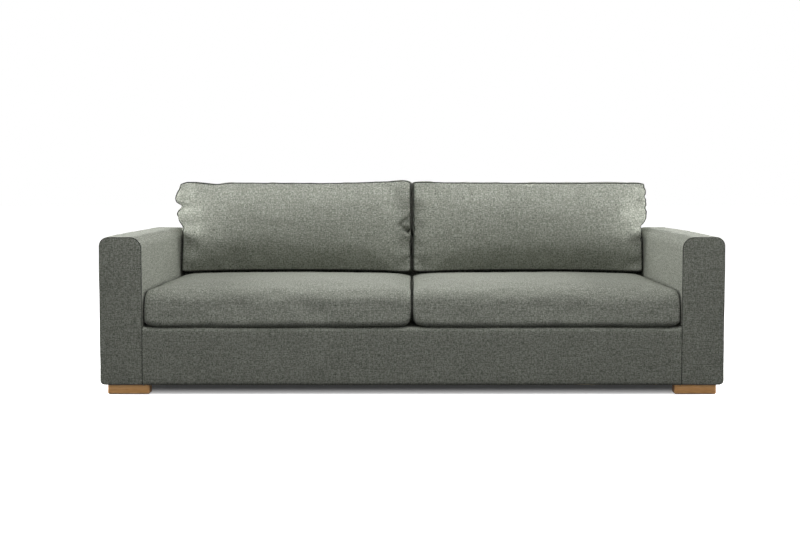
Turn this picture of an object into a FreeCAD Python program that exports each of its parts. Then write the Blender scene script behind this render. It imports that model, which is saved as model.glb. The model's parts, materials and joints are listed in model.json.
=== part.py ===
"""Four-seat upholstered sofa on low oak block feet, as a FreeCAD document.

The sofa stands on its own feet with its origin on the floor below the middle of its box: +X runs
to the right of someone facing the sofa, +Y from its front to its back, and +Z up. Left and right
are those of someone facing it. Lengths are in millimetres.

Each driving size is a cell of the sheet "Sizes". The sheet "Places" works the levels and faces
that pieces share out of them, so whatever meets or fits is tied to the same cells.
"""
import FreeCAD, Part
import math
import os
import re

import Sketcher
from FreeCAD import Placement, Rotation, Vector

SIZES = (
    ("overall_width", 2400, "outer face of one arm to that of the other"),
    ("overall_depth", 940, "front of the arms to the outside back"),
    ("overall_height", 825, "floor to the crown of the back cushions"),
    ("arm_width", 165, "thickness of an upholstered arm"),
    ("arm_height", 607, "floor to the top of an arm"),
    ("arm_outer_radius", 35, "rounding of an arm's outer top edge"),
    ("arm_inner_radius", 45, "rounding of an arm's inner top edge"),
    ("arm_lower_radius", 16, "rounding of an arm's outer bottom edge"),
    ("seam_radius", 5, "rounding at a sewn edge"),
    ("arm_foam", 15, "foam round the timber of an arm"),
    ("cover_thickness", 2, "upholstery fabric with its interlining"),
    ("dust_cover_thickness", 1, "cloth that closes the underside"),
    ("hem_width", 18, "fabric turned in under the frame"),
    ("foot_height", 36, "floor to the underside, felt included"),
    ("foot_length", 160, "along the sofa's front"),
    ("foot_depth", 45, "front to back"),
    ("foot_side_inset", 28, "arm's outer face to the foot"),
    ("foot_front_inset", 5, "arm's front or rear face to the foot"),
    ("foot_chamfer", 2.5, "broken edges of a foot"),
    ("felt_thickness", 2, "pad under a foot"),
    ("felt_inset", 4, "foot's edge to the pad's edge"),
    ("foot_screw_spacing", 70, "between a foot's screws"),
    ("screw_radius", 2.5, "shank of a foot screw"),
    ("screw_head_radius", 5, "head of a foot screw"),
    ("screw_head_height", 4, "head of a foot screw"),
    ("counterbore_depth", 14, "foot's underside to the screw head"),
    ("screw_grip", 24, "length of a screw in the timber"),
    ("running_gap", 0.2, "between a fastener and its hole, all round"),
    ("deck_height", 258, "floor to the platform under the seat cushions"),
    ("spring_room", 11, "base rails to the platform's felt, for the springs"),
    ("rail_thickness", 25, "timber of the base rails"),
    ("cross_rail_height", 120, "height of the rails from front to back"),
    ("corner_block_leg", 60, "side of a triangular corner block"),
    ("corner_block_height", 100, "height of a corner block"),
    ("corner_block_rise", 40, "rails' underside to a corner block"),
    ("arm_rail_height", 30, "top and bottom rails of an arm"),
    ("arm_board_thickness", 18, "front and rear boards of an arm"),
    ("arm_inner_panel", 6, "plywood inside an arm"),
    ("arm_outer_panel", 4, "hardboard outside an arm"),
    ("arm_strut_width", 40, "middle strut of an arm"),
    ("arm_strut_offset", 18, "middle bolt to the strut"),
    ("arm_bolt_radius", 4, "M8 bolts between base and arm"),
    ("arm_bolt_margin", 33, "corner block to the nearest bolt"),
    ("bolt_head_radius", 6.5, "head of an M8 bolt"),
    ("bolt_head_height", 5, "head of an M8 bolt"),
    ("washer_radius", 11, "washer under a bolt head"),
    ("washer_thickness", 1.6, "washer under a bolt head"),
    ("nut_barrel_radius", 5.5, "barrel of a tee nut"),
    ("nut_barrel_length", 11, "barrel of a tee nut"),
    ("nut_flange_radius", 10, "flange of a tee nut"),
    ("nut_flange_thickness", 1.5, "flange of a tee nut"),
    ("border_foam", 12, "foam over the front rail"),
    ("border_return", 170, "fabric of the front border over the platform"),
    ("deck_pad", 10, "felt over the springs"),
    ("border_radius", 14, "rounding of the front border's top edge"),
    ("back_foot_depth", 125, "thickness of the back at the platform"),
    ("back_height", 720, "floor to the top of the back"),
    ("back_top_depth", 70, "thickness of the back at its top"),
    ("back_foam", 18, "foam on the front of the back"),
    ("back_top_foam", 22, "foam on the top of the back"),
    ("back_radius", 22, "rounding of the back's top front edge"),
    ("back_board", 3, "hardboard at the rear"),
    ("top_rail_height", 25, "timber along the top of the back"),
    ("webbing_thickness", 2, "elastic webbing of the back"),
    ("webbing_width", 50, "elastic webbing of the back"),
    ("webbing_count", 4, "straps across the back"),
    ("webbing_spacing", 95, "between the middles of the straps"),
    ("spring_wire_radius", 1.9, "sinuous seat springs"),
    ("spring_width", 50, "sinuous seat springs"),
    ("spring_count", 10, "springs across the seat"),
    ("spring_loops", 24, "half loops in a spring"),
    ("wire_flats", 6, "sides of a spring's wire, which is drawn as a bar with flats"),
    ("clip_width", 18, "clip that holds a spring's end"),
    ("clip_wall", 1.2, "steel of a clip"),
    ("tie_wire_radius", 1.2, "wires across the springs"),
    ("tie_wire_spacing", 260, "between those wires"),
    ("cushion_side_gap", 2.5, "between a seat cushion and its neighbour, each side"),
    ("cushion_rear_gap", 8, "seat cushion to the inside back"),
    ("rest_gap", 0.5, "seat cushion above the platform"),
    ("seat_cushion_height", 162, "at its crown"),
    ("seat_cushion_radius", 36, "rounding of its edges"),
    ("back_cushion_depth", 188, "front to back"),
    ("back_cushion_radius", 40, "rounding of its edges"),
    ("back_cushion_side_gap", 6, "between a back cushion and its neighbour, each side"),
    ("back_cushion_rear_gap", 6, "back cushion to the inside back"),
    ("zip_room", 6, "under a back cushion, for its zip"),
    ("zip_margin", 85, "end of a cushion to the end of its zip"),
    ("zip_tape_width", 26, "both tapes together"),
    ("zip_tape_thickness", 1, "zip tape"),
    ("zip_chain_width", 5, "meshed teeth"),
    ("zip_chain_height", 1.8, "meshed teeth above the tape"),
    ("zip_setback", 60, "rear of a back cushion to its zip"),
    ("slider_length", 14, "body of a zip slider"),
    ("slider_width", 11, "body of a zip slider"),
    ("slider_wall", 1.4, "body of a zip slider"),
    ("slider_gap", 0.3, "between a slider and the teeth and tape"),
    ("pull_length", 26, "pull tab of a slider"),
    ("pull_width", 6, "pull tab of a slider"),
    ("pull_thickness", 1.2, "pull tab of a slider"),
    ("zip_stop", 5, "end of the teeth to a closed slider"),
    ("dust_cover_inset", 16, "outside of the covers to the dust cover's edge"),
    ("back_rail_gap", 10, "inside back at the platform to the rear rail"),
    ("deck_tuck", 15, "platform cloth under the back's foam"),
)

PLACES = (
    ("half_width", "overall_width / 2", "arm's outer face"),
    ("front_y", "-overall_depth / 2", "front of the arms"),
    ("rear_y", "overall_depth / 2", "outside back"),
    ("arm_inner_x", "half_width - arm_width", "arm's face towards the seat"),
    ("skirt_z", "foot_height + dust_cover_thickness", "underside of the covers"),
    ("frame_z", "skirt_z + cover_thickness", "underside of the timber"),
    ("arm_frame_inset", "cover_thickness + arm_foam", "arm's cover to its timber"),
    ("arm_frame_inner_x", "arm_inner_x + arm_frame_inset", "timber of an arm, inner side"),
    ("arm_frame_outer_x", "half_width - arm_frame_inset", "timber of an arm, outer side"),
    ("arm_frame_top_z", "arm_height - arm_frame_inset", "timber of an arm, top"),
    ("arm_frame_end_y", "rear_y - arm_frame_inset", "timber of an arm, rear end"),
    ("arm_hollow_y", "arm_frame_end_y - arm_board_thickness", "inner face of an end board"),
    ("arm_hollow_low_z", "frame_z + arm_rail_height", "top of an arm's bottom rail"),
    ("arm_hollow_top_z", "arm_frame_top_z - arm_rail_height", "underside of its top rail"),
    ("foot_outer_x", "half_width - foot_side_inset", "foot's outer end"),
    ("foot_middle_x", "foot_outer_x - foot_length / 2", "foot's middle"),
    ("foot_front_y", "front_y + foot_front_inset", "foot's front face"),
    ("foot_middle_y", "foot_front_y + foot_depth / 2", "foot's middle"),
    ("screw_x", "(arm_frame_inner_x + arm_frame_outer_x) / 2", "middle of a foot's screws"),
    ("deck_under_z", "deck_height - cover_thickness", "underside of the platform cloth"),
    ("pad_under_z", "deck_under_z - deck_pad", "underside of the platform's felt"),
    ("base_top_z", "pad_under_z - spring_room", "top of the base rails"),
    ("deck_front_y", "front_y + border_return", "seam of border and platform cloth"),
    ("front_rail_y", "front_y + cover_thickness + border_foam", "front of the front rail"),
    ("front_rail_rear_y", "front_rail_y + rail_thickness", "rear of the front rail"),
    ("well_rear_y", "rear_y - back_foot_depth", "inside back at the platform"),
    ("deck_rear_y", "well_rear_y + deck_tuck", "rear of the platform cloth"),
    ("rear_rail_y", "well_rear_y + back_rail_gap", "front of the rear rail"),
    ("rear_rail_rear_y", "rear_rail_y + rail_thickness", "rear of the rear rail"),
    ("well_middle_y", "(front_rail_rear_y + rear_rail_y) / 2", "middle of the side rails"),
    ("bolt_z", "(frame_z + base_top_z) / 2", "bolts between base and arm"),
    ("bolt_spread", "(rear_rail_y - front_rail_rear_y) / 2 - corner_block_leg - arm_bolt_margin",
     "middle bolt to an end one"),
    ("spring_spacing", "2 * arm_inner_x / spring_count", "between seat springs"),
    ("spring_z", "base_top_z + clip_wall + running_gap + spring_wire_radius", "a spring's wire"),
    ("tie_wire_z", "spring_z + spring_wire_radius + running_gap + tie_wire_radius", "tie wires"),
    ("back_half", "arm_inner_x - cover_thickness", "end of the back's timber and foam"),
    ("back_board_y", "rear_y - cover_thickness - back_board", "front of the hardboard"),
    ("back_crown_y", "rear_y - back_top_depth", "inside back at its top"),
    ("lean", "(back_crown_y - well_rear_y) / (back_height - deck_height)", "slope of the back"),
    ("back_top_z", "back_height - cover_thickness", "top of the back's foam"),
    ("top_rail_z", "back_top_z - back_top_foam", "top of the timber of the back"),
    ("upright_z", "top_rail_z - top_rail_height", "top of the uprights"),
    ("foam_rear_y", "well_rear_y + cover_thickness + back_foam", "rear of the back foam"),
    ("upright_y", "foam_rear_y + webbing_thickness", "front of the uprights"),
    ("cushion_low_z", "deck_height + rest_gap", "underside of a seat cushion"),
    ("cushion_top_z", "cushion_low_z + seat_cushion_height", "top of a seat cushion"),
    ("cushion_width", "arm_inner_x - 2 * cushion_side_gap", "seat cushion, end to end"),
    ("cushion_rear_y", "well_rear_y - cushion_rear_gap", "rear of a seat cushion"),
    ("back_low_z", "cushion_top_z + zip_room", "underside of a back cushion"),
    ("back_width", "arm_inner_x - 2 * back_cushion_side_gap", "back cushion, end to end"),
    ("zip_z", "(cushion_low_z + cushion_top_z) / 2", "zip of a seat cushion"),
    ("seat_zip_length", "cushion_width - 2 * zip_margin", "zip of a seat cushion"),
    ("back_zip_length", "back_width - 2 * zip_margin", "zip of a back cushion"),
    ("slider_low", "zip_tape_thickness + slider_gap", "cushion to the underside of a slider"),
    ("slider_roof", "zip_tape_thickness + zip_chain_height + slider_gap", "its groove's depth"),
    ("slider_top", "slider_roof + slider_wall", "cushion to the outside of a slider"),
)

ROLES = {"XY": "XY_Plane", "XZ": "XZ_Plane", "YZ": "YZ_Plane"}
TOUCH = 1e-4
SIDES = {"left": -1, "right": 1}

doc = FreeCAD.newDocument("sofa")
nodes = []


# --- the sheets ---------------------------------------------------------------------------------

def make_sheet(name, rows, heading):
    """A sheet with one row for each size: its name, its value under that alias, and its meaning."""
    sheet = doc.addObject("Spreadsheet::Sheet", name)
    sheet.set("A1", heading)
    for row, (alias, value, meaning) in enumerate(rows, start=2):
        sheet.set(f"A{row}", alias)
        sheet.set(f"B{row}", value if isinstance(value, str) else str(value))
        sheet.setAlias(f"B{row}", alias)
        sheet.set(f"C{row}", meaning)
    doc.recompute()
    return sheet


def bind(formula):
    """The formula with each named size or place turned into a reference to its cell."""
    homes = {alias: "Sizes" for alias, _, _ in SIZES}
    homes.update({alias: "Places" for alias, _, _ in PLACES})

    def refer(word):
        name = word.group(0)
        return f"{homes[name]}.{name}" if name in homes else name

    return re.sub(r"[a-z][a-z_]+", refer, formula)


sizes = make_sheet("Sizes", SIZES, "Driving sizes, mm")
places = make_sheet(
    "Places", [(a, "=" + bind(f), m) for a, f, m in PLACES], "Levels and faces, mm"
)


# --- building blocks ----------------------------------------------------------------------------

def tie(thing, **formulas):
    """Binds properties to formulas: "at_x" and the like mean the placement's coordinates."""
    for name, formula in formulas.items():
        path = "Placement.Base." + name[-1] if name.startswith("at_") else name
        thing.setExpression(path, bind(str(formula)))
    return thing


def node(thing, label):
    """Marks an object of the document as a sub-part of the sofa, under that label."""
    thing.Label = label
    nodes.append(thing)
    return thing


def box(name, x, y, z):
    """A block between two formulas along each axis."""
    made = doc.addObject("Part::Box", name)
    spans = {k: f"({b}) - ({a})" for k, (a, b) in zip(("Length", "Width", "Height"), (x, y, z))}
    return tie(made, **spans, at_x=x[0], at_y=y[0], at_z=z[0])


def side_box(name, side, x, y, z):
    """A block on one side of the sofa, whose x formulas are distances from the middle plane."""
    return box(name, x if side > 0 else (f"-({x[1]})", f"-({x[0]})"), y, z)


def cylinder(name, radius, height, at, turn=Rotation()):
    """A round bar that starts at a point and runs along +Z, or along what turn makes of it."""
    made = doc.addObject("Part::Cylinder", name)
    made.Placement = Placement(Vector(), turn)
    return tie(made, Radius=radius, Height=height, at_x=at[0], at_y=at[1], at_z=at[2])


def together(name, pieces):
    """Several solids side by side as one object."""
    made = doc.addObject("Part::Compound", name)
    made.Links = pieces
    return made


def cut(name, base, *tools):
    """The base less every tool."""
    made = doc.addObject("Part::Cut", name)
    made.Base = base
    made.Tool = tools[0] if len(tools) == 1 else together(name + "_tools", list(tools))
    return made


def common(name, first, second):
    """What two objects share."""
    made = doc.addObject("Part::Common", name)
    made.Base = first
    made.Tool = second
    return made


def plane_of(body, plane):
    return next(f for f in body.Origin.OriginFeatures if f.Role == ROLES[plane])


def profile(name, plane, corners, length, reverse=False):
    """A body padded from a closed outline whose corners are pairs of formulas in that plane.

    A pad from XY rises along +Z, one from YZ runs along +X, and one from XZ along -Y, or along +Y
    if it is reversed.
    """
    body = doc.addObject("PartDesign::Body", name)
    sketch = body.newObject("Sketcher::SketchObject", name + "_outline")
    sketch.AttachmentSupport = (plane_of(body, plane), [""])
    sketch.MapMode = "FlatFace"
    rough = rough_corners(corners)
    for start, end in zip(rough, rough[1:] + rough[:1]):
        sketch.addGeometry(Part.LineSegment(start, end), False)
    for i in range(len(corners)):
        ahead = (i + 1) % len(corners)
        sketch.addConstraint(Sketcher.Constraint("Coincident", i, 2, ahead, 1))
    for i, pair in enumerate(corners):
        for kind, formula, value in zip(("DistanceX", "DistanceY"), pair, rough[i]):
            index = sketch.addConstraint(Sketcher.Constraint(kind, -1, 1, i, 1, value))
            sketch.setExpression(f"Constraints[{index}]", bind(formula))
    pad = body.newObject("PartDesign::Pad", name + "_pad")
    pad.Profile = sketch
    pad.Reversed = reverse
    tie(pad, Length=length)
    sketch.Visibility = False
    doc.recompute()
    return body


def rough_corners(corners):
    """Where the corners stand now, worked out in a scratch sheet that is taken away again."""
    scratch = doc.addObject("Spreadsheet::Sheet", "Scratch")
    for row, (u, v) in enumerate(corners, start=1):
        scratch.set(f"A{row}", "=" + bind(u))
        scratch.set(f"B{row}", "=" + bind(v))
    doc.recompute()
    found = [
        Vector(float(scratch.get(f"A{row}")), float(scratch.get(f"B{row}")), 0)
        for row in range(1, len(corners) + 1)
    ]
    doc.removeObject("Scratch")
    return found


def edges_at(shape, along=None, **at):
    """Names of the edges that lie at the shape's own limits, such as x="min", z="max".

    With along, only straight edges in that direction count. With no limit, every edge counts.
    """
    whole = shape.BoundBox
    levels = {axis.upper(): getattr(whole, axis.upper() + at[axis].capitalize()) for axis in at}
    found = []
    for i, edge in enumerate(shape.Edges, start=1):
        own = edge.BoundBox
        if along and getattr(own, along.upper() + "Length") < edge.Length - TOUCH:
            continue
        reach = [abs(getattr(own, a + end) - v) for a, v in levels.items() for end in ("Min", "Max")]
        if all(miss < TOUCH for miss in reach):
            found.append(f"Edge{i}")
    return found


def round_off(body, radius, kind="Fillet", **where):
    """Rounds or chamfers the body's edges that edges_at finds, or all of them."""
    tip = body.Tip
    made = body.newObject("PartDesign::" + kind, f"{body.Name}_{kind.lower()}_{len(body.Group)}")
    made.Base = (tip, edges_at(tip.Shape, **where))
    tie(made, **{"Radius" if kind == "Fillet" else "Size": radius})
    doc.recompute()
    return body


def feature(label, shape):
    """A sub-part whose shape is worked out in code from the sheets."""
    made = doc.addObject("Part::Feature", label)
    made.Shape = shape
    return node(made, label)


# --- feet ---------------------------------------------------------------------------------------

def foot_corners():
    """Where the four feet stand: label, side of the sofa, and front (-1) or rear (+1)."""
    for end, way in (("front", -1), ("rear", 1)):
        for side, sign in SIDES.items():
            yield f"{end}_{side}", sign, way


def screw_points():
    """Axes of the foot screws on the floor plane."""
    for _, side, way in foot_corners():
        for step in (-0.5, 0.5):
            x = side * places.screw_x + step * sizes.foot_screw_spacing
            yield Vector(x, -way * places.foot_middle_y, 0)


def make_feet():
    """Oak blocks with broken edges, each with two counterbored holes, and a felt pad below."""
    length, depth = "foot_length", "foot_depth"
    outline = [("0", "0"), (length, "0"), (length, depth), ("0", depth)]
    for label, side, way in foot_corners():
        block = profile(f"{label}_block", "XY", outline, "foot_height - felt_thickness")
        round_off(block, "foot_chamfer", "Chamfer", along="z")
        round_off(block, "foot_chamfer", "Chamfer", z="min")
        left = "foot_middle_x - foot_length / 2" if side > 0 else "-foot_outer_x"
        near = "foot_front_y" if way < 0 else "-foot_front_y - foot_depth"
        tie(block, at_x=left, at_y=near, at_z="felt_thickness")
        y = f"{-way} * foot_middle_y"
        holes = []
        for step in (-0.5, 0.5):
            x = f"{side} * screw_x + {step} * foot_screw_spacing"
            n = len(holes)
            holes += [
                cylinder(f"{label}_hole_{n}", "screw_radius + running_gap", "foot_height", (x, y, "0")),
                cylinder(
                    f"{label}_bore_{n}",
                    "screw_head_radius + running_gap",
                    "counterbore_depth",
                    (x, y, "0"),
                ),
            ]
        node(cut(f"{label}_cut", block, *holes), f"foot_{label}")
    pads = [
        box(
            f"felt_{label}",
            (f"{side} * foot_middle_x - foot_length / 2 + felt_inset",
             f"{side} * foot_middle_x + foot_length / 2 - felt_inset"),
            (f"{-way} * foot_middle_y - foot_depth / 2 + felt_inset",
             f"{-way} * foot_middle_y + foot_depth / 2 - felt_inset"),
            ("0", "felt_thickness"),
        )
        for label, side, way in foot_corners()
    ]
    node(together("felts", pads), "foot_felt_pads")
    node(together("screws", list(foot_screws())), "foot_screws")


def foot_screws():
    """Pan-head screws up through the feet into the arms' bottom rails."""
    for n, point in enumerate(screw_points()):
        head = Part.makeCylinder(
            sizes.screw_head_radius,
            sizes.screw_head_height,
            point + Vector(0, 0, sizes.counterbore_depth - sizes.screw_head_height),
        )
        reach = places.frame_z + sizes.screw_grip - sizes.counterbore_depth
        shank = Part.makeCylinder(
            sizes.screw_radius, reach, point + Vector(0, 0, sizes.counterbore_depth)
        )
        screw = doc.addObject("Part::Feature", f"screw_{n}")
        screw.Shape = head.fuse(shank).removeSplitter()
        yield screw


def screw_holes(name, side=None):
    """Clearance round the foot screws, for what they pass through."""
    found = []
    for _, own, way in foot_corners():
        for step in (-0.5, 0.5):
            if side in (None, own):
                x = f"{own} * screw_x + {step} * foot_screw_spacing"
                at = (x, f"{-way} * foot_middle_y", "0")
                radius = "screw_radius + running_gap"
                reach = "frame_z + screw_grip + 1"
                found.append(cylinder(f"{name}_{len(found)}", radius, reach, at))
    return found


# --- base ---------------------------------------------------------------------------------------

def make_dust_cover():
    """Black cloth under the whole frame, pierced by the foot screws."""
    sheet = box(
        "dust_sheet",
        ("-half_width + dust_cover_inset", "half_width - dust_cover_inset"),
        ("front_y + dust_cover_inset", "rear_y - dust_cover_inset"),
        ("foot_height", "skirt_z"),
    )
    node(cut("dust_cut", sheet, *screw_holes("dust_hole")), "dust_cover")


def make_base():
    """A rectangle of rails between the arms, two cross rails and four glued corner blocks."""
    across = ("-arm_inner_x", "arm_inner_x")
    tall = ("frame_z", "base_top_z")
    between = ("front_rail_rear_y", "rear_rail_y")
    node(box("front_rail", across, ("front_rail_y", "front_rail_rear_y"), tall), "base_front_rail")
    node(box("rear_rail", across, ("rear_rail_y", "rear_rail_rear_y"), tall), "base_rear_rail")
    rails = []
    for label, side in SIDES.items():
        x = ("arm_inner_x - rail_thickness", "arm_inner_x")
        rail = side_box(f"side_rail_{label}", side, x, between, tall)
        rails.append(cut(f"side_rail_{label}_cut", rail, *bolt_holes(f"rail_{label}", side)))
    node(together("side_rails", rails), "base_side_rails")
    low = ("frame_z", "frame_z + cross_rail_height")
    cross = [
        side_box(
            f"cross_rail_{label}",
            side,
            ("2 * spring_spacing - rail_thickness / 2", "2 * spring_spacing + rail_thickness / 2"),
            between,
            low,
        )
        for label, side in SIDES.items()
    ]
    node(together("cross_rails", cross), "base_cross_rails")
    blocks = []
    for label, side, way in foot_corners():
        leg_x = f"{-side} * corner_block_leg"
        leg_y = f"{-way} * corner_block_leg"
        block = profile(
            f"block_{label}", "XY", [("0", "0"), (leg_x, "0"), ("0", leg_y)], "corner_block_height"
        )
        y = "front_rail_rear_y" if way < 0 else "rear_rail_y"
        x = f"{side} * (arm_inner_x - rail_thickness)"
        blocks.append(tie(block, at_x=x, at_y=y, at_z="frame_z + corner_block_rise"))
    node(together("blocks", blocks), "base_corner_blocks")


def copies_across(shape, xs):
    """Copies of a shape, each moved along X."""
    row = []
    for x in xs:
        copy = shape.copy()
        copy.translate(Vector(x, 0, 0))
        row.append(copy)
    return Part.makeCompound(row)


def spring_shape():
    """One sinuous spring at x = 0: straight runs along X, joined by half circles turn by turn."""
    start = (places.front_rail_y + places.front_rail_rear_y) / 2
    end = (places.rear_rail_y + places.rear_rail_rear_y) / 2
    loops = int(sizes.spring_loops)
    pitch = (end - start) / loops
    radius = pitch / 2
    half = sizes.spring_width / 2 - sizes.spring_wire_radius - radius
    edges = []
    for i in range(loops + 1):
        way = 1 if i % 2 else -1
        here = Vector(way * half, start + i * pitch, places.spring_z)
        edges.append(Part.LineSegment(Vector(-here.x, here.y, here.z), here).toShape())
        if i < loops:
            side = here + Vector(way * radius, radius, 0)
            edges.append(Part.Arc(here, side, here + Vector(0, pitch, 0)).toShape())
    flats = int(sizes.wire_flats)
    turns = [2 * math.pi * n / flats for n in range(flats)]
    reach = sizes.spring_wire_radius
    ring = [
        Vector(half, start + reach * math.cos(turn), places.spring_z + reach * math.sin(turn))
        for turn in turns
    ]
    section = Part.makePolygon(ring + ring[:1])
    return Part.Wire(edges).makePipeShell([section], True, False)


def make_springs():
    """Sinuous springs from rail to rail in C-shaped clips, with wires tied across them."""
    count = int(sizes.spring_count)
    xs = [(i - (count - 1) / 2) * places.spring_spacing for i in range(count)]
    feature("seat_springs", copies_across(spring_shape(), xs))
    room = "2 * (spring_wire_radius + running_gap)"
    deep = f"{room} + 2 * clip_wall"
    clips = []
    for rail, way in (("front_rail", 1), ("rear_rail", -1)):
        # The clip's mouth looks along way, towards the middle of the seat.
        corners = [
            ("0", "0"),
            (f"{way} * ({deep})", "0"),
            (f"{way} * ({deep})", "clip_wall"),
            (f"{way} * clip_wall", "clip_wall"),
            (f"{way} * clip_wall", f"clip_wall + {room}"),
            (f"{way} * ({deep})", f"clip_wall + {room}"),
            (f"{way} * ({deep})", deep),
            ("0", deep),
        ]
        clip = profile(f"clip_{rail}", "YZ", corners, "clip_width")
        middle = f"({rail}_y + {rail}_rear_y) / 2"
        tie(clip, at_x="-clip_width / 2", at_y=f"{middle} - {way} * ({deep}) / 2", at_z="base_top_z")
        doc.recompute()
        clips += copies_across(clip.Shape, xs).Solids
    feature("spring_clips", Part.makeCompound(clips))
    half = "arm_inner_x - rail_thickness"
    wires = [
        cylinder(
            f"tie_wire_{n}",
            "tie_wire_radius",
            f"2 * ({half})",
            (f"-({half})", f"well_middle_y + {step} * tie_wire_spacing", "tie_wire_z"),
            Rotation(Vector(0, 1, 0), 90),
        )
        for n, step in enumerate((-0.5, 0.5))
    ]
    node(together("tie_wires", wires), "spring_tie_wires")


def make_deck():
    """Felt and cloth over the springs, and the padded border that wraps the front rail."""
    across = ("-arm_inner_x", "arm_inner_x")
    along = ("deck_front_y", "deck_rear_y")
    node(box("felt", across, along, ("pad_under_z", "deck_under_z")), "deck_pad")
    node(box("cloth", across, along, ("deck_under_z", "deck_height")), "deck_cover")
    foam = profile(
        "border_foam",
        "YZ",
        [
            ("front_y + cover_thickness", "frame_z"),
            ("front_rail_y", "frame_z"),
            ("front_rail_y", "pad_under_z"),
            ("deck_front_y", "pad_under_z"),
            ("deck_front_y", "deck_under_z"),
            ("front_y + cover_thickness", "deck_under_z"),
        ],
        "2 * arm_inner_x",
    )
    round_off(foam, "border_radius - cover_thickness", along="x", y="min", z="max")
    node(tie(foam, at_x="-arm_inner_x"), "front_border_foam")
    block = profile(
        "border_outside",
        "YZ",
        [
            ("front_y", "skirt_z"),
            ("front_y + hem_width", "skirt_z"),
            ("front_y + hem_width", "frame_z"),
            ("deck_front_y", "frame_z"),
            ("deck_front_y", "deck_height"),
            ("front_y", "deck_height"),
        ],
        "2 * arm_inner_x",
    )
    round_off(block, "border_radius", along="x", y="min", z="max")
    hollow = profile(
        "border_inside",
        "YZ",
        [
            ("front_y + cover_thickness", "frame_z"),
            ("deck_front_y + 1", "frame_z"),
            ("deck_front_y + 1", "deck_under_z"),
            ("front_y + cover_thickness", "deck_under_z"),
        ],
        "2 * arm_inner_x",
    )
    round_off(hollow, "border_radius - cover_thickness", along="x", y="min", z="max")
    for body in (block, hollow):
        tie(body, at_x="-arm_inner_x")
    node(cut("border_cut", block, hollow), "front_border_cover")


# --- back ---------------------------------------------------------------------------------------

def slope(start, level):
    """Formula of a plane parallel to the inside back: y is start at the platform."""
    return f"{start} + lean * ({level} - deck_height)"


def across_back(name, corners, half="back_half"):
    """A YZ outline carried across the back, to half its width on either side of the middle."""
    body = profile(name, "YZ", corners, f"2 * {half}")
    return tie(body, at_x=f"-{half}")


def make_back_frame():
    """Uprights that lean with the back, a rail along their tops, webbing and a rear board."""
    corners = [
        ("rear_rail_rear_y", "frame_z"),
        ("back_board_y", "frame_z"),
        ("back_board_y", "upright_z"),
        (slope("upright_y", "upright_z"), "upright_z"),
        (slope("upright_y", "base_top_z"), "base_top_z"),
        ("rear_rail_rear_y", "base_top_z"),
    ]
    ends = "back_half - rail_thickness / 2"
    uprights = []
    for n, middle in enumerate((f"-({ends})", "-2 * spring_spacing", "0", "2 * spring_spacing", ends)):
        upright = profile(f"upright_{n}", "YZ", corners, "rail_thickness")
        uprights.append(tie(upright, at_x=f"{middle} - rail_thickness / 2"))
    node(together("uprights", uprights), "back_uprights")
    across = ("-back_half", "back_half")
    depth = (slope("upright_y", "top_rail_z"), "back_board_y")
    node(box("top_rail", across, depth, ("upright_z", "top_rail_z")), "back_top_rail")
    board_y = ("back_board_y", "back_board_y + back_board")
    node(box("rear_board", across, board_y, ("frame_z", "back_top_z")), "back_board")
    straps = []
    for n in range(int(sizes.webbing_count)):
        middle = f"(deck_height + upright_z) / 2 + ({n} - (webbing_count - 1) / 2) * webbing_spacing"
        low = f"{middle} - webbing_width / 2"
        high = f"{middle} + webbing_width / 2"
        corners = [
            (slope("foam_rear_y", low), low),
            (slope("upright_y", low), low),
            (slope("upright_y", high), high),
            (slope("foam_rear_y", high), high),
        ]
        straps.append(across_back(f"strap_{n}", corners))
    node(together("straps", straps), "back_webbing")


def make_back_covers():
    """Foam over the front and top of the back, its fabric with end panels, and the outside back."""
    front = "well_rear_y + cover_thickness"
    foam = across_back(
        "back_foam_body",
        [
            (front, "deck_height"),
            ("foam_rear_y", "deck_height"),
            (slope("foam_rear_y", "top_rail_z"), "top_rail_z"),
            ("back_board_y", "top_rail_z"),
            ("back_board_y", "back_top_z"),
            (slope(front, "back_top_z"), "back_top_z"),
        ],
    )
    round_front_top(foam, "back_radius - cover_thickness")
    node(foam, "back_foam")
    skin = "rear_y - cover_thickness"
    outside = [
        ("well_rear_y", "deck_height"),
        (skin, "deck_height"),
        (skin, "back_height"),
        ("back_crown_y", "back_height"),
    ]
    outside = across_back("inside_back_outer", outside, "arm_inner_x")
    round_front_top(outside, "back_radius")
    inside = [
        (front, "deck_height"),
        ("rear_y", "deck_height"),
        ("rear_y", "back_top_z"),
        (slope(front, "back_top_z"), "back_top_z"),
    ]
    inside = across_back("inside_back_inner", inside)
    round_front_top(inside, "back_radius - cover_thickness")
    node(cut("inside_back_cut", outside, inside), "inside_back_cover")
    rear = [
        ("rear_y", "skirt_z"),
        ("rear_y", "back_height"),
        (skin, "back_height"),
        (skin, "frame_z"),
        ("rear_y - hem_width", "frame_z"),
        ("rear_y - hem_width", "skirt_z"),
    ]
    node(across_back("outside_back", rear, "arm_inner_x"), "outside_back_cover")


def round_front_top(body, radius):
    """Rounds the edge along X at the front end of a body's top face."""
    tip = body.Tip
    tops = edges_at(tip.Shape, along="x", z="max")
    front = min(tops, key=lambda n: tip.Shape.getElement(n).BoundBox.YMin)
    made = body.newObject("PartDesign::Fillet", body.Name + "_round")
    made.Base = (tip, [front])
    tie(made, Radius=radius)
    doc.recompute()


# --- arms ---------------------------------------------------------------------------------------

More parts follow.
